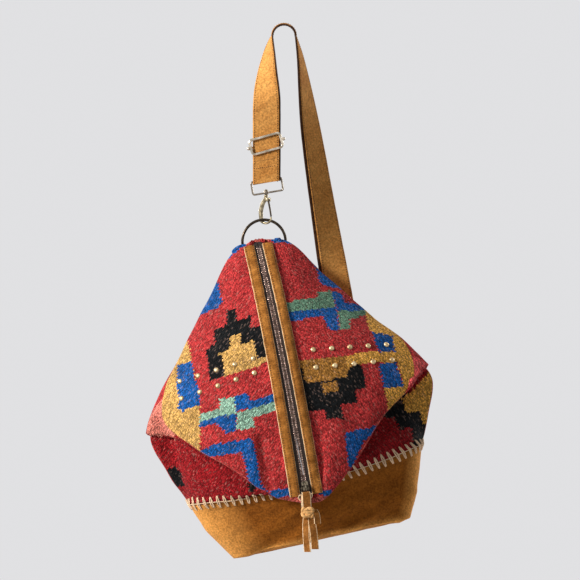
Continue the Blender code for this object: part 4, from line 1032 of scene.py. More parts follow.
def back_room(trees, place, out):
    """Least depth at which the strap clears the bag's back over its whole width."""
    depths = []
    for share in (-0.5, -0.25, 0, 0.25, 0.5):
        aside = share * STRAP_WIDTH
        for dz in (-5 * MM, 0, 5 * MM):
            depths.append(behind(trees, place.x - aside * out.y, place.z + dz) - aside * out.x)
    return max(depths) + STRAP_THICKNESS / 2 + 2 * GAP


def strap_fold():
    """Stations of the strap's fold round the clasp's bar."""
    fold = []
    for f in steps(8):
        angle = math.pi * f
        out = Vector((0, math.cos(angle), -math.sin(angle)))
        fold.append((CLASP_BAR + out * FOLD_RADIUS, Vector((1, 0, math.tan(FOLD_TILT))), out))
    return fold


def back_run(trees, bend):
    """Run from the seat down behind the bag to the strap's end, clear of the bag's back."""
    ridge = BAG_TOP.z
    end = drawn(STRAP_END_POINT)
    right = (
        (bend, 0, -SEAT_RADIUS, 0), (22 * MM, 1 * MM, -48 * MM, -13), (34.6 * MM, 6 * MM, -131 * MM, -40),
        (54 * MM, 14 * MM, ridge + 18 * MM, -61), (72 * MM, 24 * MM, ridge - 85 * MM, -89),
        (end.x - 16 * MM, end.y, ridge - 190 * MM, -90), (end.x - 2 * MM, end.y, end.z + 75 * MM, -96),
        (*end, -99),
    )
    points, outs = run_of(right, 36)
    for p, out in zip(points, outs):
        if p.z < ridge - 36 * MM:
            needed = back_room(trees, p, out)
            p.y = needed if p.z < end.z + PATCH_HEIGHT else max(p.y, needed)
    return points, outs


def strap_stations(trees):
    """The strap from its fold at the clasp, over the seat, to its end on the back of the base."""
    bend = SEAT_RADIUS + STRAP_THICKNESS / 2
    twist_z = -LEFT_DROP * TWIST_START
    left = (
        (STRAND_X, STRAND_Y, twist_z, 270),
        (STRAND_X * 0.95, STRAND_Y * 0.7, twist_z * 0.63, 230),
        (STRAND_X * 0.45 - bend * 0.52, STRAND_Y * 0.2, twist_z * 0.3, 199),
        (-bend, 0, -SEAT_RADIUS, 180),
    )
    straight = [Vector((STRAND_X, STRAND_Y, z)) for z in (CLASP_BAR.z + 3 * MM, twist_z - 9 * MM)]
    left_points, left_outs = run_of(left, 14)
    points = straight + left_points
    outs = [-Y_AXIS] * 2 + left_outs
    for f in steps(10)[1:-1]:
        angle = math.pi * (1 - f)
        out = Vector((math.cos(angle), 0, math.sin(angle)))
        points.append(out * bend - Z_AXIS * SEAT_RADIUS)
        outs.append(out)
    right_points, right_outs = back_run(trees, bend)
    stations = framed(points + right_points, outs + right_outs)
    first, _, out = stations[0]
    stations[0] = (first, Vector((1, 0, math.tan(FOLD_TILT) * 0.6)), out)
    return strap_fold() + stations


def hook_point(aside, z):
    """Place in the hook's own plane."""
    return Vector((
        STRAND_X + aside * math.cos(HOOK_TURN), BOSS_CENTRE.y + aside * math.sin(HOOK_TURN), z,
    ))


def slide_point(aside, depth, up):
    """Place in the tilted plane of the slide buckle, depth measured from the front strand's middle."""
    return Vector((
        STRAND_X + aside * math.cos(SLIDE_TILT) - up * math.sin(SLIDE_TILT),
        STRAND_Y + depth,
        SLIDE_CENTRE.z + aside * math.sin(SLIDE_TILT) + up * math.cos(SLIDE_TILT),
    ))


def closed_sheet(name, low, high, finishes, edge_faces=1):
    """Sheet with rounded edges between a lower and an upper grid. Its edges take the second finish."""
    sections = [bottom + top[::-1] for bottom, top in zip(low, high)]
    columns = len(sections[0])
    half = columns // 2
    mesh = grid_mesh(name, sections, closed=True)
    last = (len(sections) - 1) * columns
    ends = []
    for start, turn in ((0, 1), (last, -1)):
        for j in range(half - 1):
            ends.append([start + k for k in (j, j + 1, columns - 2 - j, columns - 1 - j)][::turn])
    closed_up(mesh, ends)
    for index, face in enumerate(mesh.polygons):
        j = index % columns
        near_edge = min(abs(j - (half - 1)), abs(j - (columns - 1)), j + 1)
        if index >= last or near_edge < edge_faces:
            face.material_index = 1
    mesh.set_sharp_from_angle(angle=math.radians(70))
    return add_object(name, mesh, *finishes)


# Section of a flat band: share of its width, and share of its thickness there
PROFILE = (
    (-0.5, 0.0), (-0.494, 0.28), (-0.482, 0.46), (-0.44, 0.5), (-0.3, 0.5), (-0.15, 0.5), (0, 0.5),
    (0.15, 0.5), (0.3, 0.5), (0.44, 0.5), (0.482, 0.46), (0.494, 0.28), (0.5, 0.0),
)


def fine_stations(stations, per):
    """Stations between the given ones, on smooth curves."""
    spans = len(stations) - 1
    parts = [[Vector(st[k]) for st in stations] for k in range(3)]
    fine = []
    for t in steps(spans * per):
        centre, wide, out = (smooth(part, t) for part in parts)
        fine.append((centre, wide, out.normalized()))
    return fine


def leather_band(name, stations, width, thickness, finishes, lift=0.0, wave=0.0, rim=0):
    """Flat band with rounded edges through stations of (centre, wide, out)."""
    low, high = [], []
    for c, w, o in stations:
        shift = o * wave * noise.noise(c * 28)
        top, bottom = [], []
        for u, v in PROFILE:
            edge = 1 + 0.012 * noise.noise(c * 55 + X_AXIS * (3 if u > 0 else -3))
            if rim and abs(u) == 0.44:
                u = math.copysign(0.5 - rim / width, u)
            base = c + shift + w * width * u * edge + o * lift
            top.append(base + o * thickness * v)
            bottom.append(base - o * thickness * v)
        low.append(bottom)
        high.append(top)
    return closed_sheet(name, low, high, finishes, 4 if rim else 1)


def axis_place(origin, axis):
    """Matrix at a place with its Z along an axis."""
    return Matrix.Translation(origin) @ axis.to_track_quat("Z", "Y").to_matrix().to_4x4()


def stitch_row(strokes, pairs, pitch, length, radius, sink=0.1 * MM):
    """Running stitches along (place, outward) pairs."""
    path, outs = zip(*pairs)
    lengths = [0.0]
    for a, b in zip(path, path[1:]):
        lengths.append(lengths[-1] + (b - a).length)
    i = 0
    for n in range(int(lengths[-1] / pitch)):
        at = (n + 0.5) * pitch
        while lengths[i + 1] < at:
            i += 1
        f = (at - lengths[i]) / (lengths[i + 1] - lengths[i])
        place = path[i].lerp(path[i + 1], f)
        out = outs[i].lerp(outs[i + 1], f).normalized()
        along = (path[i + 1] - path[i]).normalized()
        strokes.dash(place + out * (radius * 0.35 - sink), along, out, length, radius)


def face_row(stations, lift, aside):
    """Stitch places on a band's front, or on its back where lift is below zero."""
    return [(c + w.normalized() * aside + o * lift, o if lift > 0 else -o) for c, w, o in stations]


def base_point(angle, level):
    """Outer face of the base: level 0 at the seam, 1 at the bottom's edge, on to 2 at its middle."""
    if level <= 1:
        place = seam_loop(angle).lerp(bottom_loop(angle), level)
        swell = math.sin(math.pi * level) * 3
        place += Vector((math.cos(angle), math.sin(angle), 0)) * swell
        return drawn(place) - Z_AXIS * SEAM_GAP / 2 * (1 - level)
    middle = drawn(BOTTOM_MIDDLE)
    rim = drawn(bottom_loop(angle))
    inward = level - 1
    drop = 3 * MM * math.sin(min(inward * 2.2, 1) * math.pi / 2)
    flat = rim.lerp(Vector((middle.x, middle.y, rim.z)), inward)
    flat.z = rim.z * (1 - inward) + middle.z * inward - drop
    return flat


# Folds of the base: chart ends, half width in chart steps and height in millimetres
BASE_FOLDS = (
    ((322, 538), (366, 508), 6, -3.4),
    ((342, 530), (376, 516), 4.5, 2.4),
    ((366, 525), (404, 508), 5, -2.8),
    ((398, 522), (412, 492), 4.5, 2.2),
    ((262, 556), (296, 528), 9, -2.4),
    ((208, 530), (250, 546), 9, 2.0),
    ((214, 512), (300, 520), 10, -1.6),
    ((330, 500), (396, 480), 9, -1.8),
)


def build_base_suede(finish, around=280, low=70, under=18):
    """Cup of the base, pale along its lower edge and its ends: partly wear, partly painted light that is
    broadest on the left end.
    """
    levels = steps(low) + [1 + f * 0.97 for f in steps(under)[1:]]
    angles = full_turn(around)
    rows = [[base_point(a, level) for a in angles] for level in levels]
    mesh = grid_mesh("base_cup", rows, closed=True, flip=True)
    last = (len(rows) - 1) * around
    closed_up(mesh, [range(last, last + around)])
    moves, shares = [], []
    for index, vertex in enumerate(mesh.vertices):
        level = levels[index // around]
        angle = angles[index % around]
        height = crease_height(BASE_FOLDS, *chart(vertex.co)) if math.sin(angle) < 0.2 else 0
        height += 1.5 * MM * noise.noise(vertex.co * 17) + 0.5 * MM * noise.noise(vertex.co * 55)
        fade = min(1, level / 0.14) * min(1, max(0, 1.6 - level) / 0.3)
        moves.append(vertex.normal * height * fade)
        # Wear and painted light: paler along the lower edge, the underside and the ends, broadest at the
        # left end.
        side = math.cos(angle)
        end = (side - 0.80) / 0.2 if side > 0 else (-side - 0.45) / 0.55
        share = max(math.exp(-((level - 1.02) / 0.07) ** 2) * 0.8, end * 0.9, math.exp(-level / 0.05) * 0.25)
        if level > 1.1:
            share = 0.35
        shares.extend((share, share, share, 1))
    tree = moved_tree(mesh, moves)
    paint = mesh.color_attributes.new("wear_and_light", "FLOAT_COLOR", "POINT")
    paint.data.foreach_set("color", shares)
    obj = add_object("base_cup", mesh, finish)
    thicken(obj, SUEDE_THICKNESS, -1)
    return obj, tree


def laid(tree, place, out, lift):
    """Place lifted off the cloth it lies on, seen along the outward direction."""
    hit = tree.ray_cast(place + out * 14 * MM, -out, 24 * MM)[0]
    if hit is None:
        return place + out * lift
    return hit + out * lift


WHIP_PITCH = 9.2 * MM
WHIP_MARKS = 1440  # places round the seam among which the nearest to a stitch is found
WHIP_END = 0.006  # share of a wing's seam left free at each end


def seam_places(wing):
    """Where a wing's stitches cross the seam, as (place, along, direction of the seam)."""
    alongs = [WHIP_END + (1 - 2 * WHIP_END) * t for t in steps(500)]
    seam = [wing.point(along, 0) for along in alongs]
    run = 0.0
    want = WHIP_PITCH / 2
    places = []
    for at, after, along in zip(seam, seam[1:], alongs):
        run += (after - at).length
        if run >= want:
            want += WHIP_PITCH
            places.append((at, along, (after - at).normalized()))
    return places


def whip_strand(at, up, down, out, aside, tilt, reach, wool, base):
    """Path of one strand of a stitch, out of the base, over the seam and into the wool."""
    return [
        at + down * 8.0 * reach * MM - out * 2.0 * MM + aside * 0.3 - tilt,
        laid(base, at + down * 7.4 * reach * MM + aside * 0.4 - tilt, out, 0.5 * MM),
        laid(base, at + down * 4.0 * MM + aside * 0.95 - tilt * 0.5, out, 1.0 * MM),
        at + out * 1.9 * MM + aside * 1.1,
        laid(wool, at + up * 3.8 * MM + aside * 0.95 + tilt * 0.5, out, 1.0 * MM),
        laid(wool, at + up * 7.0 * reach * MM + aside * 0.4 + tilt, out, 0.5 * MM),
        at + up * 7.6 * reach * MM - out * 2.0 * MM + aside * 0.3 + tilt,
    ]


def build_whip(wings, trees, finish):
    """Whip stitches of doubled twine all round the base seam, and the thread they run over."""
    twine = Strokes()
    marks = full_turn(WHIP_MARKS)
    loop = [drawn(seam_loop(a)) for a in marks]
    centre = drawn(SEAM_MIDDLE)
    for wing, tree in zip(wings, trees):
        thread = []
        for at, along, side in seam_places(wing):
            nearest = min(range(WHIP_MARKS), key=lambda k: (loop[k] - at).length_squared)
            up = wing.point(along, 0.05) - at
            up = (up - side * up.dot(side)).normalized()
            down = base_point(marks[nearest], 0.1) - loop[nearest]
            down = (down - side * down.dot(side)).normalized()
            out = side.cross(up - down).normalized()
            if out.dot(at - centre) < 0:
                out = -out
            tilt = side * ((2.2 * noise.noise(at * 60) + (1.3 if side.x < 0 else -1.3)) * MM)
            reach = 1 + 0.3 * noise.noise(at * 75 + X_AXIS * 4)
            thread.append(at + out * 1.9 * MM + up * 0.8 * noise.noise(at * 33) * MM)
            for strand in (-1.1, 1.1):
                aside = side * (strand * MM + 0.5 * MM * noise.noise(at * 90 + out * strand))
                path = whip_strand(at, up, down, out, aside, tilt, reach, tree, trees[2])
                twine.tube(smooth_path(path, 16), 0.85 * MM, sides=8)
        twine.tube(smooth_path(thread, 4 * len(thread)), 0.45 * MM, sides=6)
    return twine.make("seam_twine", finish)


def build_welt(finish):
    """Folded suede edge that fills the seam between the wool and the base."""
    welt = Strokes()
    path = [drawn(seam_loop(a)) for a in full_turn(360)]
    welt.tube(path, 1.15 * MM, sides=10, closed=True, up=Z_AXIS)
    return welt.make("seam_welt", finish)


def build_hem(wings, finish):
    """Rolled wool edge over the top of the bag, which joins its two halves above the zip."""
    path = []
    for wing, alongs in ((wings[0], steps(16)), (wings[1], steps(16)[::-1])):
        for t in alongs:
            along = 0.948 + 0.052 * t
            crest = max((wing.point(along, 0.40 + 0.012 * k) for k in range(16)), key=lambda q: q.z)
            path.append(crest - Z_AXIS * 2.7 * MM)
    smoothed, radii = [], []
    last = len(path) - 1
    for i in range(len(path)):
        near = path[max(0, i - 5):i + 6]
        ends = min(i, last - i) / 5
        place = sum(near, Vector()) / len(near) - Z_AXIS * 4.0 * MM * max(0, 1 - ends)
        smoothed.append(place)
        radii.append((2.7 + 0.1 * noise.noise(place * 90)) * MM * min(1, 0.35 + 0.65 * ends))
    hem = Strokes()
    hem.tube(smooth_path(smoothed, 90), [radii[round(t * last)] for t in steps(90)], sides=16)
    return hem.make("top_hem", finish)


# Places of the strip's points across it, as shares of its width
STRIP_SHARES = (0, 0.03, 0.095, 0.20, 0.36, 0.52, 0.68, 0.80, 0.895, 0.97, 1)


def strip_height(tree, s, side, aside):
    """Height at which the strip lies on the tape or on the wool."""
    edge = ZIP.wool_edge(s)
    if aside < edge - 0.5 * MM:
        return WOOL_HEIGHT
    least = WOOL_HEIGHT if aside < edge + 2 * MM else -1
    return min(max(surface_height(tree, s, side * aside), least), WOOL_HEIGHT + 0.8 * MM)


def build_strip_suede(name, side, tree, finishes, along=170):
    """Suede strip along the zip, and the places of its two stitch rows."""
    low, high, inner_row, outer_row = [], [], [], []
    places, heights = [], []
    for f in steps(along):
        s = -0.015 + 1.027 * f
        inner = ZIP.strip_edge(s) + 0.35 * MM * noise.noise(Vector((s * 40, side * 3, 1)))
        asides = [inner + STRIP_WIDTH * share for share in STRIP_SHARES]
        places.append((s, asides))
        heights.append([strip_height(tree, s, side, aside) for aside in asides])
    for index, (s, asides) in enumerate(places):
        outward, _ = ZIP.frame(s)
        near = heights[max(0, index - 4):index + 5]
        bottom, top = [], []
        for k, (share, aside) in enumerate(zip(STRIP_SHARES, asides)):
            height = sum(row[k] for row in near) / len(near) + GAP
            rounding = 0.7 if share in (0, 1) else 0.95 if share in (0.03, 0.97) else 1
            crown = 0.5 * MM * math.sin(math.pi * share)
            here = ZIP.point(s, side * aside, height)
            bottom.append(here)
            top.append(here + outward * (SUEDE_THICKNESS * rounding + crown))
        low.append(bottom)
        high.append(top)
        inner_row.append((top[3].lerp(top[2], 0.2), outward))
        outer_row.append((top[7].lerp(top[8], 0.25), outward))
    return closed_sheet(name, low, high, finishes, 2), inner_row, outer_row


def build_tape_cloth(name, side, finish, along=150):
    low, high = [], []
    for f in steps(along):
        s = -0.038 + 1.043 * f
        outward, _ = ZIP.frame(s)
        near, far = (0.3 if s < 0.012 else 1.2) * MM, ZIP.wool_edge(s) - 1.1 * MM
        bottom, top = [], []
        for share in (0, 0.12, 0.3, 0.5, 0.7, 0.88, 1):
            aside = near + (far - near) * share
            rib = TAPE_THICKNESS / 2 * (0.55 if share in (0, 1) else 1)
            bottom.append(ZIP.point(s, side * aside, -rib))
            top.append(ZIP.point(s, side * aside, rib))
        low.append(bottom)
        high.append(top)
    return closed_sheet(name, low, high, (finish, finish))


# Pitch of the teeth, and the half outline and layers of one tooth in millimetres
TOOTH_PITCH = 2.9 * MM
TOOTH_OUTLINE = (
    (3.0, 0.50), (1.5, 0.52), (0.6, 0.34), (0.1, 0.40), (-0.35, 0.52), (-0.75, 0.44), (-0.95, 0.2),
)
TOOTH_LAYERS = ((-0.95, 0.8), (-0.75, 1.0), (0.5, 1.0), (0.85, 0.8), (1.0, 0.45))
TOOTH_CROWN = ((0.8, 0.78), (1.05, 0.74), (1.25, 0.5), (1.34, 0.2))
TOOTH_WIDTH = 1.15


def build_teeth_row(name, side, finish):
    """Row of cast teeth on the tape's cord: a narrow neck, a wider head and a domed crown each."""
    teeth = Strokes()
    loop = TOOTH_OUTLINE + tuple((aside, -half) for aside, half in TOOTH_OUTLINE[::-1])
    inward = ZIP.across * side
    at = 0.4 * MM + (TOOTH_PITCH / 2 if side > 0 else 0)
    while at < ZIP.length - 6.5 * MM:
        s = at / ZIP.length
        outward, downward = ZIP.frame(s)
        centre = ZIP.point(s)
        rings = []
        for height, scale in TOOTH_LAYERS:
            rings.append([
                centre + (inward * aside + downward * half * scale * TOOTH_WIDTH + outward * height) * MM
                for aside, half in loop
            ])
        teeth.loft(rings)
        crown = [centre + (inward * 2.2 + outward * height) * MM for height, _ in TOOTH_CROWN]
        teeth.tube(crown, [radius * MM for _, radius in TOOTH_CROWN], sides=10)
        at += TOOTH_PITCH
    cord = [ZIP.point(s - 0.01 * (1 - s), side * 1.9 * MM) for s in steps(140)]
    teeth.tube(cord, 0.55 * MM, sides=6)
    return teeth.make(name, finish, 35)


def build_stop_wire(finish):
    """Bottom stop: a wire bar whose ends turn down."""
    stop = Strokes()
    height = TAPE_THICKNESS / 2 + GAP + 0.9 * MM
    path = []
    for f in steps(16):
        drop = 1.3 * MM * max(0, abs(f - 0.5) * 2 - 0.86) / 0.14
        path.append(ZIP.point(1, (f - 0.5) * 10 * MM, height - drop))
    stop.tube(path, 0.9 * MM, sides=12)
    return stop.make("zip_end_stop", finish)


# Half outline of the slider's plates as shares of their width and length
PLATE_SIDE = ((0.36, -0.5), (0.42, -0.2), (0.5, 0.18), (0.46, 0.42), (0.2, 0.5))
PLATE_LAYERS = ((0.0, 0.94), (0.15, 1.0), (0.8, 1.0), (1.0, 0.90))


def build_slider_cast(finish):
    """Slider: two rounded plates joined by the wedge, side lips and a bridge for the thong."""
    body = Strokes()
    outward, downward = ZIP.frame(SLIDER_AT)
    turn = Matrix((ZIP.across, -downward, outward)).transposed().to_4x4()
    place = Matrix.Translation(ZIP.point(SLIDER_AT)) @ turn
    room = 1.7 * MM
    plate = 1.0 * MM
    wide = 8.0 * MM
    shape = PLATE_SIDE + tuple((-x, y) for x, y in PLATE_SIDE[::-1])
    corners = [Vector((x * wide, y * SLIDER_LENGTH, 0)) for x, y in shape[-1:] + shape[:-1]]
    outline = []
    for i in range(len(corners)):
        span = [corners[(i + k) % len(corners)] for k in (-1, 0, 1, 2)]
        outline += [smooth(span, (1 + f) / 3) for f in (0, 0.34, 0.67)]
    for sign in (-1, 1):
        rings = []
        for height, scale in PLATE_LAYERS:
            z = sign * (room + plate * height)
            rings.append([place @ Vector((p.x * scale, p.y * scale, z)) for p in outline])
        body.loft(rings)
        for side in (-1, 1):
            lip = place @ Matrix.Translation((side * 3.65 * MM, 0.6 * MM, sign * (room - 0.3 * MM)))
            body.box(lip, (0.7 * MM, 8 * MM, 1.0 * MM), 0.2 * MM)
    wedge = place @ Matrix.Translation((0, -3.9 * MM, 0))
    body.box(wedge, (1.0 * MM, 2.4 * MM, 3.6 * MM), 0.25 * MM)
    top = room + plate
    rise = ((-4.0, -0.4), (-3.9, 1.6), (-2.4, 3.3), (0, 3.6), (2.4, 3.3), (3.9, 1.6), (4.0, -0.4))
    arch = [place @ Vector((0, y * MM, top + z * MM)) for y, z in rise]
    body.tube(smooth_path(arch, 24), 0.95 * MM, sides=12)
    return body.make("zip_slider_cast", finish, 40)


# Thong in millimetres. The loop: aside, up, out and share of the width
THONG_LOOP = (
    (0.6, -31, -0.4, 0.8), (0.2, -22, 0.0, 0.9), (0, -13, 0.0, 0.9), (0, -9.2, 0.5, 0.9),
    (0.4, -8.2, 2.2, 0.9), (0.8, -10.4, 3.9, 0.95), (1.2, -15, 4.1, 1), (1.6, -22, 4.2, 1),
    (2.2, -30, 4.4, 0.95),
)
# Wire link and twine loop: across the zip, up and out
THONG_LINK = (
    (-3.4, 0, 0), (3.4, 0, 0), (4.6, -2, 1.0), (4.7, -8.6, 2.3), (4.2, -10.6, 2.4), (-4.2, -10.6, 2.4),
    (-4.7, -8.6, 2.3), (-4.6, -2, 1.0),
)
THONG_TWINE = ((1.5, -12, 2.0), (6.8, -10.5, 3.4), (8.6, -13.5, 3.4), (6.2, -17.0, 3.0), (3.0, -17.5, 2.6))
# Coils of the knot: start angle, size, lean and lift
KNOT_COILS = ((0.0, 1.0, 0.35, 0.9), (2.4, 0.95, -0.5, -0.5), (4.2, 0.82, 0.1, 0.4))
# Tails: name, root aside and up, length, drift, lift, width and twist
THONG_TAILS = (
    ("left", -1.6, -3, 46, 1.8, -1.2, 9.0, 0.35),
    ("right", 3.6, -3, 42.5, 5.6, 1.6, 9.6, 0.05),
    ("short", 9.0, 4.0, 18, 3.2, 1.2, 8.6, -0.2),
)


THONG_OUT = (-Z_AXIS).cross(ZIP.across).normalized()
THONG_OUT *= -1 if THONG_OUT.y > 0 else 1


def hung(origin, x, z, lift):
    """Place off an origin in millimetres: to the right, up and out from the bag."""
    return origin + (X_AXIS * x + Z_AXIS * z + THONG_OUT * lift) * MM


KNOT_AT = hung(THONG_PIVOT, 2.6, -33, 3.4)


def zip_side(side, aside, up, lift):
    """Place off the thong's pivot in millimetres: across the zip to a side, up and out."""
    return THONG_PIVOT + (ZIP.across * side * aside + Z_AXIS * up + THONG_OUT * lift) * MM


def build_thong_loop(finishes):
    """Flat suede loop from the knot up to the link and back."""
    centres = [hung(THONG_PIVOT, x, z, lift) for x, z, lift, _ in THONG_LOOP]
    shares = [Vector((share, 0)) for _, _, _, share in THONG_LOOP]
    ribbon = []
    for t in steps(64):
        ahead, back = smooth(centres, min(1, t + 0.01)), smooth(centres, max(0, t - 0.01))
        along = (ahead - back).normalized()
        square = ZIP.across.cross(along).normalized()
        wide = along.cross(square).normalized() * smooth(shares, t).x
        ribbon.append((smooth(centres, t), wide, square))
    return leather_band("thong_loop", ribbon, 11.4 * MM, 1.7 * MM, finishes, rim=1.1 * MM)


def build_thong_link(finish):
    """Wire link between the slider's bridge and the thong."""
    link = Strokes()
    corners = [zip_side(1, *corner) for corner in THONG_LINK]
    wire = []
    for a, b in zip(corners, corners[1:] + corners[:1]):
        wire += [a.lerp(b, k / 6) for k in range(6)]
    link.tube(wire, 0.85 * MM, sides=12, closed=True, up=THONG_OUT)
    return link.make("thong_link", finish)


def build_thong_knot(finish):
    """Knot: three coils round a filled middle."""
    knot = Strokes()
    for turn, size, lean, lift in KNOT_COILS:
        ring = []
        for a in full_turn(32):
            a += turn
            x = 6.2 * size * math.cos(a)
            z = 4.3 * size * math.sin(a) + x * lean
            ring.append(hung(KNOT_AT, x, z, 1.9 * math.sin(a * 2 + turn) + lift))
        knot.tube(ring, 2.5 * MM, sides=12, closed=True, flat=0.8, up=THONG_OUT)
    middle = [hung(KNOT_AT, *place) for place in ((-5, 1, 0), (0, 0, 1.2), (5, -1, 0))]
    knot.tube(smooth_path(middle, 8), 3.4 * MM, sides=12, flat=0.9, up=THONG_OUT)
    return knot.make("thong_knot", finish)


def build_thong_tail(finishes, word, x, z, length, drift, lift, width, turn):
    """Flat tail that hangs from the knot and twists a little."""
    root = hung(KNOT_AT, x, z, lift - 1.2)
    stations = []
    for f in steps(26):
        bend = 0.9 * math.sin(f * 3.1) * (-1 if word == "left" else 1)
        centre = hung(root, drift * f + bend, -length * f, 0.6 * f)
        twist = turn * (0.7 + 0.5 * math.sin(f * 2.6))
        wide = (X_AXIS * math.cos(twist) + THONG_OUT * math.sin(twist)).normalized()
        narrow = 0.72 + 0.28 * min(1, f / 0.25)
        square = wide.cross(-Z_AXIS)
        if square.dot(THONG_OUT) < 0:
            square = -square
        stations.append((centre, wide * narrow, square))
    return leather_band(
        f"thong_tail_{word}", stations, width * MM, 1.9 * MM, finishes, wave=0.4 * MM, rim=0.8 * MM,
    )


def build_thong_twine(finish):
    """Twine that ties the loop above the knot, a bow on each side."""
    twine = Strokes()
    for side in (-1, 1):
        path = [zip_side(side, *place) for place in THONG_TWINE]
        twine.tube(smooth_path(path, 28), 0.75 * MM, sides=8)
    return twine.make("thong_twine", finish)


def build_ring_wire(finish):
    ring = Strokes()
    path = []
    for a in full_turn(128):
        path.append(RING_CENTRE + (X_AXIS * math.cos(a) + Z_AXIS * math.sin(a)) * RING_RADIUS)
    ring.tube(path, RING_WIRE / 2 - 0.2 * MM, sides=24, closed=True, up=Y_AXIS)
    return ring.make("ring_round", finish)


def build_tab_suede(trees, finishes):
    """Suede tab folded through the ring and sewn down the back."""
    wire_z = RING_CENTRE.z - RING_RADIUS
    bend = RING_WIRE / 2 + GAP + TAB_THICKNESS / 2
    turn_z = wire_z + 1.2 * MM
    x, y = RING_CENTRE.x, RING_CENTRE.y
    low = wire_z - TAB_LENGTH
    near = []
    for z in (low, low + 9 * MM, low + 18 * MM, wire_z - 7 * MM):
        depth = max(behind(trees, x + dx, z) for dx in (-TAB_WIDTH / 2, 0, TAB_WIDTH / 2))
        near.append(Vector((x, depth + 2 * GAP + TAB_THICKNESS / 2, z)))
    over = []
    for f in steps(8):
        angle = math.pi * f
        over.append(Vector((x, y - bend * math.cos(angle), turn_z + bend * math.sin(angle))))
    back = [p + Y_AXIS * (TAB_THICKNESS + GAP) for p in near]
    back[-1].y = max(back[-1].y, y + bend - 1 * MM)
    points = near + over + back[::-1]
    stations = [(p, X_AXIS, along.cross(X_AXIS)) for p, along in zip(points, directions(points))]
    fine = fine_stations(stations, 4)
    tab = leather_band("ring_tab_suede", fine, TAB_WIDTH, TAB_THICKNESS, finishes)
    aside = TAB_WIDTH / 2 - 2 * MM
    return tab, [face_row(fine[-16:], TAB_THICKNESS / 2, side * aside) for side in (-1, 1)]


def rounded_loop(half_wide, half_high, corner, middle=0.0):
    """Corner points of a rounded rectangle as (aside, up), clockwise, with its middle at a height."""
    pairs = []
    for su, sv, start in ((1, 1, 90), (1, -1, 0), (-1, -1, -90), (-1, 1, 180)):
        for step in range(9):
            angle = math.radians(start - 11.25 * step)
            aside = su * (half_wide - corner) + corner * math.cos(angle)
            pairs.append((aside, middle + sv * (half_high - corner) + corner * math.sin(angle)))
    return pairs


def build_clasp_wire(finish):
    """Clasp loop: a rounded wire rectangle and the turned boss at its lower side."""
    strap_half = STRAP_WIDTH / 2 / math.cos(FOLD_TILT)
    half = strap_half + 1.2 * MM + CLASP_WIRE / 2
    tilt = Matrix.Rotation(-FOLD_TILT, 3, "Y")
    loop = rounded_loop(half, CLASP_HEIGHT / 2, half - strap_half, -CLASP_HEIGHT / 2)
    points = [CLASP_BAR + tilt @ Vector((u, 0, v)) for u, v in loop]
    clasp = Strokes()
    clasp.tube(divided(points, 2 * MM, closed=True), CLASP_WIRE / 2, sides=16, closed=True, up=Y_AXIS)
    bore = STEM_DIAMETER / 2 + GAP
    r, h = BOSS_DIAMETER / 2, BOSS_HEIGHT / 2
    upper = ((r, 0.3 * MM), (r, h - 0.9 * MM), (r - 0.3 * MM, h - 0.3 * MM), (r - 0.9 * MM, h), (bore, h))
    lower = tuple((radius, -height) for radius, height in upper[::-1])
    profile = lower + ((r + 0.25 * MM, 0),) + upper
    clasp.lathe(Matrix.Translation(BOSS_CENTRE), profile, 36, closed=True)
    return clasp.make("clasp_cast", finish, 40)


# Measures that the hook's body, gate and pin share
HOOK_ACROSS = Vector((math.cos(HOOK_TURN), math.sin(HOOK_TURN), 0))
HOOK_SIDEWAYS = Vector((-math.sin(HOOK_TURN), math.cos(HOOK_TURN), 0))
HEAD_Z = BOSS_CENTRE.z + BOSS_HEIGHT / 2 + GAP
NECK_Z = BOSS_CENTRE.z - BOSS_HEIGHT / 2 - GAP
HOOK_HALF = HOOK_WIDTH / 2
BOW_RADIUS = HOOK_HALF * 0.98
NOSE = (BOW_RADIUS, BOW_Z + BOW_RADIUS * 0.95)
GATE_PIVOT = hook_point(HOOK_HALF * 0.42, NECK_Z - 0.17 * HOOK_LENGTH)
BARREL = 3.8 * MM
BARREL_LENGTH = 2.4 * MM
EAR = BARREL * 0.5
PIN_RADIUS = 0.65 * MM


def hook_limb():
    """Middle line of the limb, from the neck round the bow to the nose, and its radii."""
    shares = ((-HOOK_HALF * 0.62, 0.3), (-HOOK_HALF, 0.55), (-BOW_RADIUS, 0.75))
    outline = [(0, NECK_Z - 1.5 * MM), (-0.8 * MM, NECK_Z - 0.14 * HOOK_LENGTH)]
    outline += [(aside, NECK_Z - share * HOOK_LENGTH) for aside, share in shares]
    for f in steps(8)[1:-1]:
        angle = math.pi * (1 + f)
        outline.append((BOW_RADIUS * math.cos(angle), BOW_Z + BOW_RADIUS * 0.8 * (1 + math.sin(angle))))
    outline.append(NOSE)
    radii = []
    for f in steps(90):
        thick = HOOK_WIRE / 2 * (0.92 if f > 0.6 else 1)
        if f < 0.6:
            thick += 1.5 * MM * math.sin(math.pi * min(1, (f + 0.12) / 0.72))
        if f > 0.93:
            thick *= 1 - 0.18 * (f - 0.93) / 0.07
        radii.append(thick)
    return smooth_path([hook_point(u, z) for u, z in outline], 90), radii


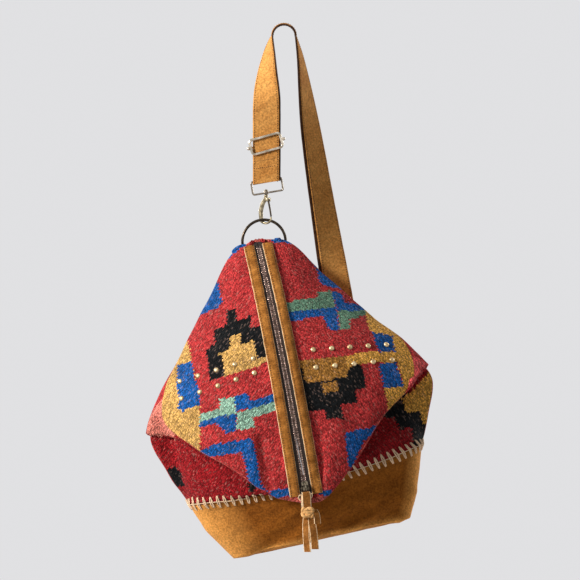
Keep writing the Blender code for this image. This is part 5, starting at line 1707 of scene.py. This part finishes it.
def build_hook_cast(finish):
    """Cast body of the snap hook: swivel stem and head, collar, limb, rounded nose and ears."""
    hook = Strokes()
    guide, radii = hook_limb()
    hook.tube(guide, radii, sides=20, flat=0.78, up=HOOK_SIDEWAYS)
    tip = axis_place(guide[-1], (guide[-1] - guide[-3]).normalized())
    nose_end = ((1.2 * MM, -0.3 * MM), (1.15 * MM, 0.1 * MM), (0.8 * MM, 0.45 * MM), (0.3 * MM, 0.6 * MM))
    hook.lathe(tip, nose_end, 16)
    stem = STEM_DIAMETER / 2
    low = NECK_Z - HEAD_Z
    profile = (
        (stem * 1.02, low - 3 * MM), (2.7 * MM, low - 2.3 * MM), (2.75 * MM, low - 0.9 * MM),
        (2.2 * MM, low - 0.1 * MM), (stem, low), (stem, 0), (2.3 * MM, 0.05 * MM), (2.5 * MM, 0.5 * MM),
        (2.2 * MM, 1.2 * MM), (1.2 * MM, 1.6 * MM),
    )
    hook.lathe(Matrix.Translation(Vector((STRAND_X, BOSS_CENTRE.y, HEAD_Z))), profile)
    turn = Matrix((HOOK_ACROSS, HOOK_SIDEWAYS, Z_AXIS)).transposed().to_4x4()
    ear_aside = BARREL_LENGTH / 2 + GAP + EAR / 2
    ear_high = BARREL + 1.0 * MM
    for sign in (-1, 1):
        ear_at = hook_point(HOOK_HALF * 0.21, GATE_PIVOT.z) + HOOK_SIDEWAYS * sign * ear_aside
        size = (HOOK_HALF * 0.42 + BARREL * 0.9, EAR, ear_high)
        hook.box(Matrix.Translation(ear_at) @ turn, size, 0.8 * MM, 4)
    neck_end = HOOK_HALF * 0.42 - BARREL / 2 - GAP
    neck_at = Matrix.Translation(hook_point(neck_end - 1.7 * MM, GATE_PIVOT.z)) @ turn
    hook.box(neck_at, (3.4 * MM, 2 * ear_aside + EAR * 0.7, ear_high * 0.95), 0.8 * MM, 3)
    return hook.make("hook_cast", finish, 45)


def build_gate_cast(finish):
    """Gate: a lever from the barrel on the pin down to the nose."""
    gate = Strokes()
    end = hook_point(BOW_RADIUS + 0.2 * MM, NOSE[1] + 3 * GAP)
    start = GATE_PIVOT + (end - GATE_PIVOT).normalized() * BARREL * 0.3
    path = smooth_path([start, start.lerp(end, 0.5) + HOOK_ACROSS * 0.25 * MM, end], 24)
    radii = [GATE_WIRE / 2 * (1.15 - 0.15 * f) for f in steps(24)]
    gate.tube(path, radii, sides=14, up=HOOK_SIDEWAYS)
    r, bevel = BARREL / 2, 0.3 * MM
    gate.lathe(axis_place(GATE_PIVOT - HOOK_SIDEWAYS * BARREL_LENGTH / 2, HOOK_SIDEWAYS), (
        (PIN_RADIUS + GAP, 0), (r - bevel, 0), (r, bevel), (r, BARREL_LENGTH - bevel),
        (r - bevel, BARREL_LENGTH), (PIN_RADIUS + GAP, BARREL_LENGTH),
    ), closed=True)
    return gate.make("gate_cast", finish, 45)


def build_gate_rivet(finish):
    """Pin through the ears and the gate's barrel, with rounded ends."""
    pin = Strokes()
    length = BARREL_LENGTH + 2 * GAP + 2 * EAR
    pin.lathe(axis_place(GATE_PIVOT - HOOK_SIDEWAYS * length / 2, HOOK_SIDEWAYS), (
        (0.35 * MM, -0.25 * MM), (0.62 * MM, -0.1 * MM), (PIN_RADIUS, 0.1 * MM),
        (PIN_RADIUS, length - 0.1 * MM), (0.62 * MM, length + 0.1 * MM), (0.35 * MM, length + 0.25 * MM),
    ), 18)
    return pin.make("gate_rivet", finish, 45)


# Half of the slide's opening for the tilted strap, its front's depth and its sides' middle lines
SLIDE_OPENING = STRAP_WIDTH / 2 / math.cos(SLIDE_TILT)
SLIDE_FRONT = -(STRAP_THICKNESS / 2 + GAP + SLIDE_WIRE / 2)
SLIDE_SIDE = SLIDE_OPENING + SLIDE_BAR + SLIDE_WIRE / 2 - 1.1 * MM


def build_slide_wire(finish):
    """Frame of the slide buckle: a rounded loop of flattened wire."""
    high = SLIDE_HEIGHT / 2 - SLIDE_WIRE / 2
    points = [slide_point(u, SLIDE_FRONT, v) for u, v in rounded_loop(SLIDE_SIDE, high, 4 * MM)]
    wire = 1.65 * MM
    buckle = Strokes()
    path = divided(points, 2 * MM, closed=True)
    buckle.tube(path, wire, sides=20, closed=True, flat=SLIDE_WIRE / 2 / wire, up=Y_AXIS)
    return buckle.make("slide_buckle", finish)


def build_slide_rod(finish):
    """Centre bar of the slide buckle, with a turned knob at each end."""
    behind_side = SLIDE_FRONT + SLIDE_WIRE / 2 + GAP + SLIDE_BAR / 2
    knob_at = SLIDE_SIDE + SLIDE_KNOB / 2 + 0.6 * MM
    run = [(-knob_at, behind_side), (-SLIDE_SIDE, behind_side)]
    run.append((-SLIDE_OPENING - 0.5 * MM, SLIDE_CENTRE.y - STRAND_Y))
    run += [(-u, d) for u, d in run[::-1]]
    rod = Strokes()
    corners = [slide_point(u, d, 0) for u, d in run]
    rod.tube(divided(corners, 1.5 * MM, 2), SLIDE_BAR / 2, sides=16, up=Z_AXIS)
    r = SLIDE_KNOB / 2
    profile = [(SLIDE_BAR / 2 * 1.02, -r * 1.15), (r * 0.66, -r * 1.05), (r * 0.62, -r * 0.86)]
    for f in steps(8):
        a = math.radians(-50 + 140 * f)
        profile.append((max(r * math.cos(a), 0.1 * MM), r * math.sin(a)))
    for sign in (-1, 1):
        axis = (slide_point(1, 0, 0) - slide_point(0, 0, 0)).normalized() * sign
        rod.lathe(axis_place(slide_point(sign * knob_at, behind_side, 0), axis), profile)
    return rod.make("slide_rod", finish, 45)


LINING_SHIFT = 1.1 * MM
LINING_SHOW = 1.4 * MM
STITCH_ASIDE = STRAP_WIDTH / 2 - 2.1 * MM


def build_straps(stations, finishes, lining_finishes):
    """Outer layer of the strap and its lining, which shows beyond the outer layer's left edge."""
    layer = (STRAP_THICKNESS - GAP) / 2
    lift = (layer + GAP) / 2
    fine = fine_stations(stations, 6)
    outer = leather_band("strap_face", fine, STRAP_WIDTH, layer, finishes, lift)
    shifted = []
    for c, w, o in fine:
        more = clamp(c.x / (24 * MM)) * clamp((c.z + 0.52) / 0.06)
        wide = w.normalized()
        shifted.append((c + wide * LINING_SHIFT * (1 + 1.1 * more), wide * (1 + 0.04 * more), o))
    wide = STRAP_WIDTH + LINING_SHOW
    inner = leather_band("strap_back", shifted, wide, layer * 1.25, lining_finishes, -lift)
    return outer, inner, fine


def build_tongue(finishes):
    """The strap's end round the centre bar."""
    low = CLASP_BAR + Y_AXIS * FOLD_RADIUS
    low_z = CLASP_BAR.z + GAP
    bar, bend = SLIDE_CENTRE, SLIDE_BEND
    path = [(low.y, low_z), (low.y, low_z + 8 * MM), (bar.y + bend, bar.z - 10 * MM)]
    for f in steps(8):
        angle = math.pi * f
        path.append((bar.y + bend * math.cos(angle), bar.z + bend * math.sin(angle)))
    path += [(bar.y - bend, bar.z - 10 * MM), (bar.y - bend, bar.z - SEWN_LENGTH)]
    points = [Vector((STRAND_X, y, z)) for y, z in path]
    stations = []
    for i, (p, along) in enumerate(zip(points, directions(points))):
        lean = FOLD_TILT if i < 2 else SLIDE_TILT
        stations.append((p, Vector((1, 0, math.tan(lean))), X_AXIS.cross(along)))
    fine = []
    for (c1, w1, o1), (c2, w2, o2) in zip(stations, stations[1:]):
        count = max(2, int((c2 - c1).length / (1.5 * MM)))
        for f in steps(count)[:-1]:
            fine.append((c1.lerp(c2, f), w1.lerp(w2, f), o1.lerp(o2, f).normalized()))
    fine.append(stations[-1])
    return leather_band("strap_tongue", fine, STRAP_WIDTH, STRAP_END_THICKNESS, finishes)


PATCH_WIDTH = 46 * MM
PATCH_THICKNESS = 1.6 * MM
PATCH_ROW = PATCH_WIDTH / 2 - 3 * MM


def build_patch_suede(stations, finishes):
    """Patch over the strap's lower end, and its four stitch rows."""
    lift = STRAP_THICKNESS / 2 + GAP + PATCH_THICKNESS / 2
    end = stations[-1][0]
    kept = [st for st in stations if (st[0] - end).length < PATCH_HEIGHT and st[0].z < BAG_TOP.z]
    low = end - (kept[-2][0] - end).normalized() * 6 * MM
    kept.append((low, *kept[-1][1:]))
    fine = fine_stations([(c - o * lift, w, o) for c, w, o in kept], 5)
    patch = leather_band("back_patch", fine, PATCH_WIDTH, PATCH_THICKNESS, finishes)
    rows = [face_row(fine[2:-2], -PATCH_THICKNESS / 2, side * PATCH_ROW) for side in (-1, 1)]
    for station in (fine[2], fine[-3]):
        row = []
        for t in steps(12):
            row += face_row([station], -PATCH_THICKNESS / 2, (t * 2 - 1) * PATCH_ROW)
        rows.append(row)
    return patch, rows


def build_stud_domes(trees, finish):
    """Two rows of five domes on each wing."""
    domes = Strokes()
    r, step = STUD_DIAMETER / 2, 0.25 * MM
    profile = [(r * 0.9, -0.5 * MM), (r, 0.0), (r, step)]
    for f in steps(8)[1:]:
        a = math.pi / 2 * f
        profile.append((max(r * 0.97 * math.cos(a), 0.05 * MM), step + (STUD_HEIGHT - step) * math.sin(a)))
    for (x1, z1), (x2, z2) in STUD_ROWS:
        for f in steps(STUDS_IN_ROW - 1):
            at = drawn((x1 + (x2 - x1) * f, 0, z1 + (z2 - z1) * f))
            start = Vector((at.x, -0.4, at.z))
            hits = [tree.ray_cast(start, Y_AXIS)[:2] for tree in trees]
            place, normal = min((h for h in hits if h[0]), key=lambda h: h[0].y)
            if normal.y > 0:
                normal = -normal
            domes.lathe(axis_place(place + normal * 0.1 * MM, normal), profile)
    return domes.make("stud_domes", finish, 50)


def settle(obj, body, slot, *nodes):
    """Hand a piece to its body and hide the nodes it stands for. The slot is not used."""
    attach(obj, body)
    if nodes:
        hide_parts(*nodes)


LEFT_WOOL = wool_finish("wool weave left", math.radians(50))
RIGHT_WOOL = wool_finish("wool weave right", math.radians(-58))
STRAP_FACE = suede_finish("strap suede", (0.70, 0.335, 0.090), (0.44, 0.17, 0.036))
STRIP_FACE = suede_finish("strip suede", (0.56, 0.23, 0.05), (0.19, 0.062, 0.009), 60)
THONG_FACE = suede_finish("thong suede", (0.38, 0.15, 0.035), (0.16, 0.055, 0.010), 60)
KNOT_FACE = suede_finish("knot suede", (0.86, 0.52, 0.22), (0.50, 0.22, 0.06), 160)
BASE_FACE = suede_finish(
    "base suede", (0.37, 0.12, 0.015), (0.14, 0.038, 0.004), 11, wear_and_light_colour=(0.80, 0.36, 0.085),
)
WELT_FACE = suede_finish("welt suede", (0.37, 0.12, 0.015), (0.14, 0.038, 0.004), 11)
CUT_EDGE = suede_finish("suede cut edge", (0.88, 0.66, 0.42), (0.72, 0.48, 0.26), 120)
STRAP_EDGE = suede_finish("strap edge", (0.13, 0.055, 0.022), (0.05, 0.02, 0.009), 120)
LINING = suede_finish("brown lining", (0.11, 0.05, 0.024), (0.045, 0.019, 0.01), 40)
TWINE = thread_finish("seam twine", (0.82, 0.58, 0.37), 1300)
THREAD = thread_finish("sewing thread", (0.06, 0.025, 0.01), 2600)
TAPE = tape_finish("zip tape", (0.022, 0.012, 0.009))
TEETH = metal_finish("zip teeth", (0.56, 0.39, 0.32), (0.09, 0.05, 0.038), 0.26, 300.0)
BRONZE = metal_finish("antique bronze", (0.08, 0.06, 0.042), (0.02, 0.015, 0.01), 0.28, 180.0)
SLIDER_METAL = metal_finish("slider metal", (0.36, 0.30, 0.21), (0.06, 0.045, 0.03), 0.26, 260.0)
HOOK_BRASS = metal_finish("hook brass", (0.44, 0.37, 0.24), (0.14, 0.11, 0.065), 0.30, 160.0)
BUCKLE_BRASS = metal_finish("buckle brass", (0.86, 0.77, 0.63), (0.36, 0.29, 0.20), 0.22, 150.0)
CLASP_BRASS = metal_finish("clasp brass", (0.46, 0.40, 0.32), (0.12, 0.095, 0.07), 0.24, 170.0)
BRASS = metal_finish("stud brass", (0.70, 0.53, 0.30), (0.34, 0.23, 0.11), 0.40, 200.0)
HEM = wool_finish("wool hem", math.radians(50), (0.85, 0.17, 0.14))

LEFT_WING = Wing(-1, LEFT_FOLD, LEFT_SIDE)
RIGHT_WING = Wing(1, RIGHT_FOLD, RIGHT_SIDE)
left_wool, left_tree = build_wool("wool_weave_left", LEFT_WING, LEFT_WOOL)
right_wool, right_tree = build_wool("wool_weave_right", RIGHT_WING, RIGHT_WOOL)
settle(left_wool, "bag", "wool", "wool_left")
settle(right_wool, "bag", "wool", "wool_right")

base_cup, base_tree = build_base_suede(BASE_FACE)
settle(base_cup, "bag", "suede", "suede_base")
SHELLS = (left_tree, right_tree, base_tree)
settle(build_whip((LEFT_WING, RIGHT_WING), SHELLS, TWINE), "bag", "suede")
settle(build_welt(WELT_FACE), "bag", "suede")

settle(build_hem((LEFT_WING, RIGHT_WING), HEM), "bag", "wool")

# Pitch, length and radius of the stitches in each kind of row
STRIP_STITCH = (3.0 * MM, 1.7 * MM, 0.62 * MM)
STRAP_STITCH = (3.0 * MM, 1.7 * MM, 0.52 * MM)
LINING_STITCH = (3.2 * MM, 1.8 * MM, 0.52 * MM)
CROSS_STITCH = (2.5 * MM, 1.5 * MM, 0.42 * MM)
PATCH_STITCH = (4.2 * MM, 2.8 * MM, 0.5 * MM)

stitches = Strokes()
for side, word, tree in ((-1, "left", left_tree), (1, "right", right_tree)):
    strip, inner_row, outer_row = build_strip_suede(f"zip_border_{word}", side, tree, (STRIP_FACE, CUT_EDGE))
    settle(strip, "bag", "suede", f"zip_strip_{word}")
    for row in (inner_row, outer_row):
        stitch_row(stitches, row, *STRIP_STITCH)
    tape = build_tape_cloth(f"zip_cloth_{word}", side, TAPE)
    settle(tape, "bag", "zip_tape", f"zip_tape_{word}")
    teeth = build_teeth_row(f"zip_cast_teeth_{word}", side, TEETH)
    settle(teeth, "bag", "zip_metal", f"zip_teeth_{word}")
settle(build_stop_wire(BRONZE), "bag", "zip_metal", "zip_stop")
settle(build_slider_cast(SLIDER_METAL), "slider", "zip_metal", "zip_slider")
thong_finishes = (THONG_FACE, CUT_EDGE)
settle(build_thong_loop(thong_finishes), "pull", "suede", "pull_thong")
settle(build_thong_link(BRONZE), "pull", "zip_metal")
settle(build_thong_knot(KNOT_FACE), "pull", "suede")
for tail in THONG_TAILS:
    settle(build_thong_tail(thong_finishes, *tail), "pull", "suede")
settle(build_thong_twine(TWINE), "pull", "suede")

settle(build_ring_wire(BRONZE), "ring", "bronze", "ring")
tab, tab_rows = build_tab_suede((left_tree, right_tree), (STRAP_FACE, CUT_EDGE))
settle(tab, "bag", "suede", "ring_tab")
settle(build_clasp_wire(CLASP_BRASS), "clasp", "bronze", "clasp_loop")
settle(build_hook_cast(HOOK_BRASS), "hook", "bronze", "hook_body")
settle(build_gate_cast(BRONZE), "gate", "bronze", "hook_gate")
settle(build_gate_rivet(CLASP_BRASS), "hook", "bronze", "gate_pin")
settle(build_slide_wire(BUCKLE_BRASS), "slide", "bronze", "slide_frame")
settle(build_slide_rod(BUCKLE_BRASS), "slide", "bronze", "slide_bar")

stations = strap_stations(SHELLS)
strap, lining, route = build_straps(stations, (STRAP_FACE, CUT_EDGE), (LINING, STRAP_EDGE))
settle(strap, "bag", "suede", "strap_suede")
settle(lining, "bag", "lining", "strap_lining")
for side in (-1, 1):
    aside = side * STITCH_ASIDE
    stitch_row(stitches, face_row(route, STRAP_THICKNESS / 2, aside), *STRAP_STITCH)
    stitch_row(stitches, face_row(route, -STRAP_THICKNESS / 2, aside), *LINING_STITCH)
# Two rows across the strap that hold its sewn end: drop below the seat, and half length
for drop, reach in ((168.2 * MM, 12.5 * MM), (177.3 * MM, 13.0 * MM)):
    row = []
    for t in steps(14):
        u = (2 * t - 1) * reach
        place = Vector((STRAND_X + u, STRAND_Y - STRAP_THICKNESS / 2, -drop + u * math.tan(FOLD_TILT)))
        row.append((place, -Y_AXIS))
    stitch_row(stitches, row, *CROSS_STITCH)

tongue = build_tongue((STRAP_FACE, STRAP_EDGE))
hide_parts("strap_end")
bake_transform(tongue)

patch, patch_rows = build_patch_suede(stations, (STRAP_FACE, CUT_EDGE))
settle(patch, "bag", "suede", "strap_patch")
for row in patch_rows + tab_rows:
    stitch_row(stitches, row, *PATCH_STITCH)
settle(stitches.make("sewing_threads", THREAD), "bag", "suede")

studs = build_stud_domes((left_tree, right_tree), BRASS)
stud_nodes = [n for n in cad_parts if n.startswith("stud_")]
settle(studs, "bag", "stud_brass", *stud_nodes)

# Studio: a pale floor below the hanging bag, a large soft key, a weak fill and soft rear lights
FLOOR_Z = -1.6
FLOOR_RADII = (0.5, 0.9, 1.2, 1.5)
FLOOR_COLOUR = (0.74, 0.735, 0.73, 1)
FLOOR_GLOW = 0.6
BACKDROP = (0.75, 0.75, 0.765, 1)
ROOM_LIGHT = (0.88, 0.89, 0.9, 1)
ROOM_STRENGTH = 0.20
LIGHTS_AIM = Vector((0, 0, -0.4))
# Name, place, size in metres, power in watts and colour of each light
LIGHTS = (
    ("key", (-2.56, -1.47, 0.85), 0.8, 147, (1, 0.985, 0.96)),
    ("fill", (1.9, -2.4, 0.0), 2.0, 4, (0.97, 0.985, 1)),
    ("top", (0.1, -0.6, 1.7), 1.2, 5, (1, 1, 1)),
    ("rear_left", (-2.0, 2.2, 0.6), 1.6, 45, (1, 1, 1)),
    ("rear_right", (2.2, 1.8, 0.3), 1.6, 45, (1, 1, 1)),
)


def build_floor():
    """Round floor whose look fades into the backdrop towards its edge."""
    sides = 64
    mesh = grid_mesh("studio_floor", [circle(r, FLOOR_Z, sides) for r in FLOOR_RADII], closed=True)
    closed_up(mesh, [range(sides)])
    floor = Finish("studio floor", 0.9)
    speck = floor.span(floor.noise(40, 3), 0.3, 0.7, 0.985, 1.015)
    floor.link(floor.shade(FLOOR_COLOUR, speck), "Base Color")
    level = floor.node("ShaderNodeMapping", {"Vector": floor.place, "Scale": (1, 1, 0)}).outputs[0]
    away = floor.node("ShaderNodeVectorMath", {0: level}, operation="LENGTH").outputs["Value"]
    share = floor.span(away, FLOOR_RADII[1], FLOOR_RADII[-1] * 0.98, FLOOR_GLOW, 1.0)
    glow = floor.node("ShaderNodeEmission", {"Color": BACKDROP, "Strength": 1.0})
    seen = floor.seen_mix(floor.shader.outputs[0], glow.outputs[0], share)
    floor.tree.links.new(seen, floor.tree.nodes["Material Output"].inputs["Surface"])
    add_object("studio_floor", mesh, floor.material)


def area_light(name, place, size, power, colour):
    data = bpy.data.lights.new(name, "AREA")
    data.shape = "DISK"
    data.size = size
    data.energy = power
    data.color = colour
    lamp = bpy.data.objects.new(name, data)
    bpy.context.scene.collection.objects.link(lamp)
    lamp.location = place
    lamp.rotation_euler = (LIGHTS_AIM - Vector(place)).to_track_quat("-Z", "Y").to_euler()


build_floor()
for light in LIGHTS:
    area_light(*light)

scene = bpy.context.scene
scene.world = bpy.data.worlds.new("studio")
scene.world.use_nodes = True
sky = Nodes(scene.world.node_tree)
room = sky.tree.nodes["Background"]
room.inputs["Color"].default_value = ROOM_LIGHT
room.inputs["Strength"].default_value = ROOM_STRENGTH
bright = sky.node("ShaderNodeBackground", {"Color": BACKDROP, "Strength": 1.0})
shown = sky.seen_mix(room.outputs[0], bright.outputs[0], 1.0)
sky.tree.links.new(shown, sky.tree.nodes["World Output"].inputs["Surface"])
scene.view_settings.view_transform = "Standard"

# Camera straight in front, far enough for the flat view of the chart
FRAME_WIDTH = 580 * CHART_STEP
SENSOR_WIDTH = 36
CAMERA_PLACE = Vector((0.0075, -12.0, -0.331))
camera_data = bpy.data.cameras.new("camera")
camera_data.sensor_width = SENSOR_WIDTH
camera_data.lens = SENSOR_WIDTH * -CAMERA_PLACE.y / FRAME_WIDTH
camera = bpy.data.objects.new("camera", camera_data)
scene.collection.objects.link(camera)
camera.location = CAMERA_PLACE
camera.rotation_euler = (math.radians(90), 0, 0)
scene.camera = camera
